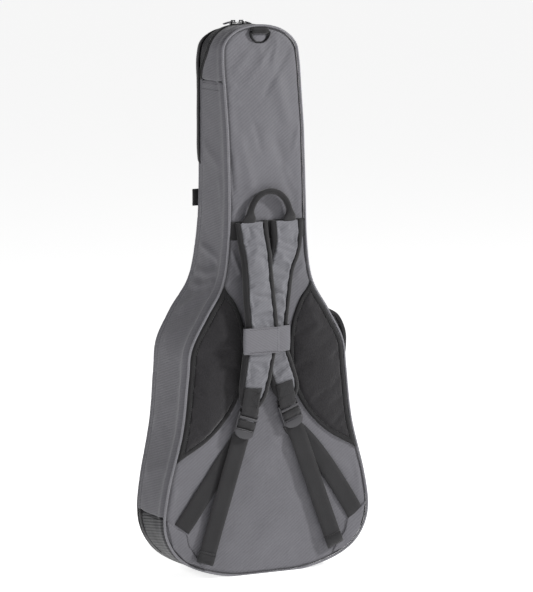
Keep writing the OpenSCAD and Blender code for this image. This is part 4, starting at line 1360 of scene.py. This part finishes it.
def pocket_section(s, z):
    w = wave(xyz(s, 0, 0), 24, 131)
    deep = POCKET - 8.6
    return ([(o + 0.5 * w * math.sin(math.pi * f), front_at, 0.4 + deep * f) for f, o in
             ((0, -0.2), (0.08, 0.6), (0.3, 1.0), (0.6, 1.0), (0.9, 0.5), (1.0, -0.2))]
            + [(-2.6, front_at, 0.4 + deep * f) for f in (1.0, 0.5, 0.0)])


def pocket_spine(z):
    return 180 + np.clip((z - 91) / 381, 0, 1) * 210


def pocket_outer(x, z, d, s):
    y = front_at(z) + POCKET - 6.6 + 6.4 * ease(d, 3.2) + 4.2 * ease(d, 40)
    return y - puckers(d, s, 141, 28, 1.0, 22) + folds(x, z, 143, (90, 120), 1.6)


def pocket_inner(x, z, d, s):
    return front_at(z) + POCKET - 7.0 + np.minimum(4.0 * ease(d - 3, 3) * (d > 3), 4.0)


attach(tube("body_pocket_wall_cover", sweep(pocket_loop, pocket_section, 6), m_pocket, closed=True), "lid",
       "pocket", "body_pocket_wall", pad=0.5)
y = float(front_at(92)) + 16
attach(panel("body_pocket_front_cover", pocket_loop, pocket_spine, pocket_outer, pocket_inner,
             [m_front, m_lining], 20, 300),
       ("lid", "pocket_front", (0, y, 90.5), (0, y, 108)), "shell_fabric", "body_pocket_front", pad=0.6)
zip_start = way_at(112, 1, pocket_loop)
for tag, body, dy, shift in (("wall", "lid", POCKET - 8.9, 0), ("front", "pocket_front", POCKET - 6.6, 1.5)):
    p, out = pocket_loop.at(np.arange(zip_start + shift, pocket_loop.total - zip_start, 3.0))
    path = xyz(p[:, 0] + out[:, 0] * 0.9, front_at(p[:, 1]) + dy, p[:, 1] + out[:, 1] * 0.9)
    attach(bricks(f"pocket_zip_teeth_{tag}", path, tangents(path), xyz(out[:, 0], 0, out[:, 1]), (1.6, 2.6, 2.0),
                  m_teeth), body, "zip")

# ---- front handle ------------------------------------------------------------------------

HANDLE_Z = 750
handle_y = float(front_at(HANDLE_Z))
side = [(-91, 2.6), (-84, 3.4), (-70, 6.4), (-60, 9.4), (-41, 16), (-18, 19.4)]
p = resample(through([(x, handle_y + h, HANDLE_Z) for x, h in
                      side + [(0, 20)] + [(-x, h) for x, h in side[::-1]]], 6), 4)
mid = strap_middle(lengths(p), 34, 14)
rows = tape_rows(p, (0, 0, 1), 34 - 4 * mid, 3.4 + 3.4 * mid)
half = len(p) // 2
m_fweave = webbing("front_handle_weave", srgb(42, 41, 43), (1, 0, 0))
for tag, part, start, end, nodes in (("left", rows[:half + 1], -66, -50, ["front_handle", "front_handle_base"]),
                                     ("right", rows[half:], 66, 50, [])):
    attach(tube(f"front_handle_{tag}_half", part, m_fweave),
           ("lid", "front_grab", *((x, handle_y + 9, HANDLE_Z) for x in (start, end))), "webbing", *nodes)
    for dz, k in ((-13, "low"), (13, "high")):
        sew(f"front_handle_stitches_{tag}_{k}",
            [(x, handle_y + 6.8, HANDLE_Z + dz) for x in sorted((start * 1.35, start * 1.06))], "lid", "webbing",
            (0, 1, 0))

# ---- zip sliders -------------------------------------------------------------------------

# boxes in a slider's own frame: x along the zip, z away from it
SLIDER = [((-7, -4.8, -0.4), (7, 4.8, 1.6)), ((-6.4, -4.4, 2.8), (7, 4.4, 4.6)),
          ((2.4, -1.6, 0.5), (5.6, 1.6, 3.6)), ((-4.6, -1.3, 4.2), (-3.0, 1.3, 8.0)), ((3.0, -1.3, 4.2), (4.6, 1.3, 8.0)),
          ((-4.6, -1.3, 7.3), (4.6, 1.3, 8.4))]
PULL = [((-0.6, -3.6, -0.5), (0.5, 3.6, 0.5)), ((-1.4, -3.6, -0.7), (7.5, -2.2, 0.7)),
        ((-1.4, 2.2, -0.7), (7.5, 3.6, 0.7)), ((6.2, -3.6, -0.7), (8.0, 3.6, 0.7))]


def slider(tag, at, lift, travel, out, pull_travel=None, pull_out=None, length=22):
    """A zip slider, and its pull: a silver link and a moulded grip. tag is (piece, body, node) for both."""
    grip = [((5.6, -1.6, -1.3), (9.4, 1.6, 1.3)), ((8.4, -4.4, -1.2), (length, 4.4, 1.2))] + [
        ((x, -3.0, -1.6), (x + 1.5, 3.0, 1.6)) for x in (10.5, 13.5, 16.5)]
    (name, body, node), (pull, pull_body, pull_node) = tag
    place = frame_of(at, travel, out)
    pull_place = frame_of(Vector(at) + Vector(out) * lift, pull_travel or travel, pull_out or out)
    attach(bevelled(name, SLIDER, m_slider, 0.7, place), body, "metal", node)
    attach(bevelled(pull, PULL, m_silver, 0.5, pull_place), pull_body, "metal", pull_node)
    attach(bevelled(pull + "_grip", grip, m_buckle, 0.9, pull_place), pull_body, "buckle")


def frame_of(at, travel, out):
    """Matrix from a slider's own frame to the row."""
    x, z = Vector(travel).normalized(), Vector(out).normalized()
    m = Matrix((x, z.cross(x), z)).transposed().to_4x4()
    m.translation = Vector(at)
    return m


top_y = float(np.interp(1098, [1070, 1110], [72, 84])) - BACK + 0.5
for tag, x, way in (("left", -34, -1), ("right", -16, 1)):
    slider(((f"slider_{tag}_body", f"slider_{tag}", f"zip_slider_{tag}"),
            (f"pull_{tag}_body", f"pull_{tag}", f"zip_pull_{tag}")),
           (x, top_y, 1099.4), 6.6, (way, 0, 0), (0, 0, 1), (way, 0, -0.27), (0.27 * way, 0, 1))
slider((("head_slider_body", "head_slider", "head_zip_slider"), ("head_pull_body", "head_pull", "head_zip_pull")),
       (ZIP_X, float(front_at(860)) + 15, 860), 6.6, (0, 0, 1), (0, 1, 0), (0, 0, -1), length=24)
slider((("pocket_slider_body", "pocket_slider", "pocket_zip_slider"),
        ("pocket_pull_body", "pocket_pull", "pocket_zip_pull")),
       (-60, float(front_at(472)) + 24 - 7.7, 472.6), 6.8, (1, 0, 0), (0, 0, 1))

# ---- floor, light, camera ----------------------------------------------------------------

n = Nodes("floor_white")
floor_mat = n.finish(srgb(226, 226, 226, 1.0), None, 0, 0.9, spec=0.1)
n.shader.inputs["Emission Color"].default_value = (1, 1, 1, 1)
n.shader.inputs["Emission Strength"].default_value = 0.8
bm = bmesh.new()
bmesh.ops.create_circle(bm, cap_ends=True, radius=60.0, segments=64)
me = bpy.data.meshes.new("floor")
bm.to_mesh(me)
bm.free()
me.materials.append(floor_mat)
floor = link("floor", me)
floor.location = (0, 0, -0.0006)
floor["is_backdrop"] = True

world = bpy.data.worlds.new("studio")
bpy.context.scene.world = world
world.use_nodes = True
world.node_tree.nodes["Background"].inputs["Color"].default_value = (1.0, 1.0, 1.0, 1)
world.node_tree.nodes["Background"].inputs["Strength"].default_value = 0.16

for name, at, aim, size, power in (("key", (3.4, -2.2, 2.9), (0, 0, 0.6), (0.5, 0.6), 190),
                                   ("side", (-3.4, -1.2, 2.2), (0, 0, 0.6), (0.6, 0.8), 54),
                                   ("rim", (0.6, 3.0, 2.8), (0, 0, 0.7), (1.6, 1.2), 12)):
    lamp = bpy.data.lights.new(name, "AREA")
    lamp.shape = "RECTANGLE"
    lamp.size, lamp.size_y = size
    lamp.energy = power
    ob = link(name, lamp)
    ob.location = at
    ob.rotation_euler = (Vector(aim) - Vector(at)).to_track_quat("-Z", "Y").to_euler()

cam = bpy.data.cameras.new("camera")
cam.lens, cam.sensor_width, cam.clip_end = 212, 36, 200
camera = link("camera", cam)
az, el, dist = math.radians(-28), math.radians(7.5), 7.0
back = Vector((math.sin(az) * math.cos(el), -math.cos(az) * math.cos(el), math.sin(el)))
camera.location = Vector((0.0215, -0.0329, 0.555)) + back * dist
camera.rotation_euler = (-back).to_track_quat("-Z", "Y").to_euler()
bpy.context.scene.camera = camera
bpy.context.scene.view_settings.view_transform = "Standard"

low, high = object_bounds()
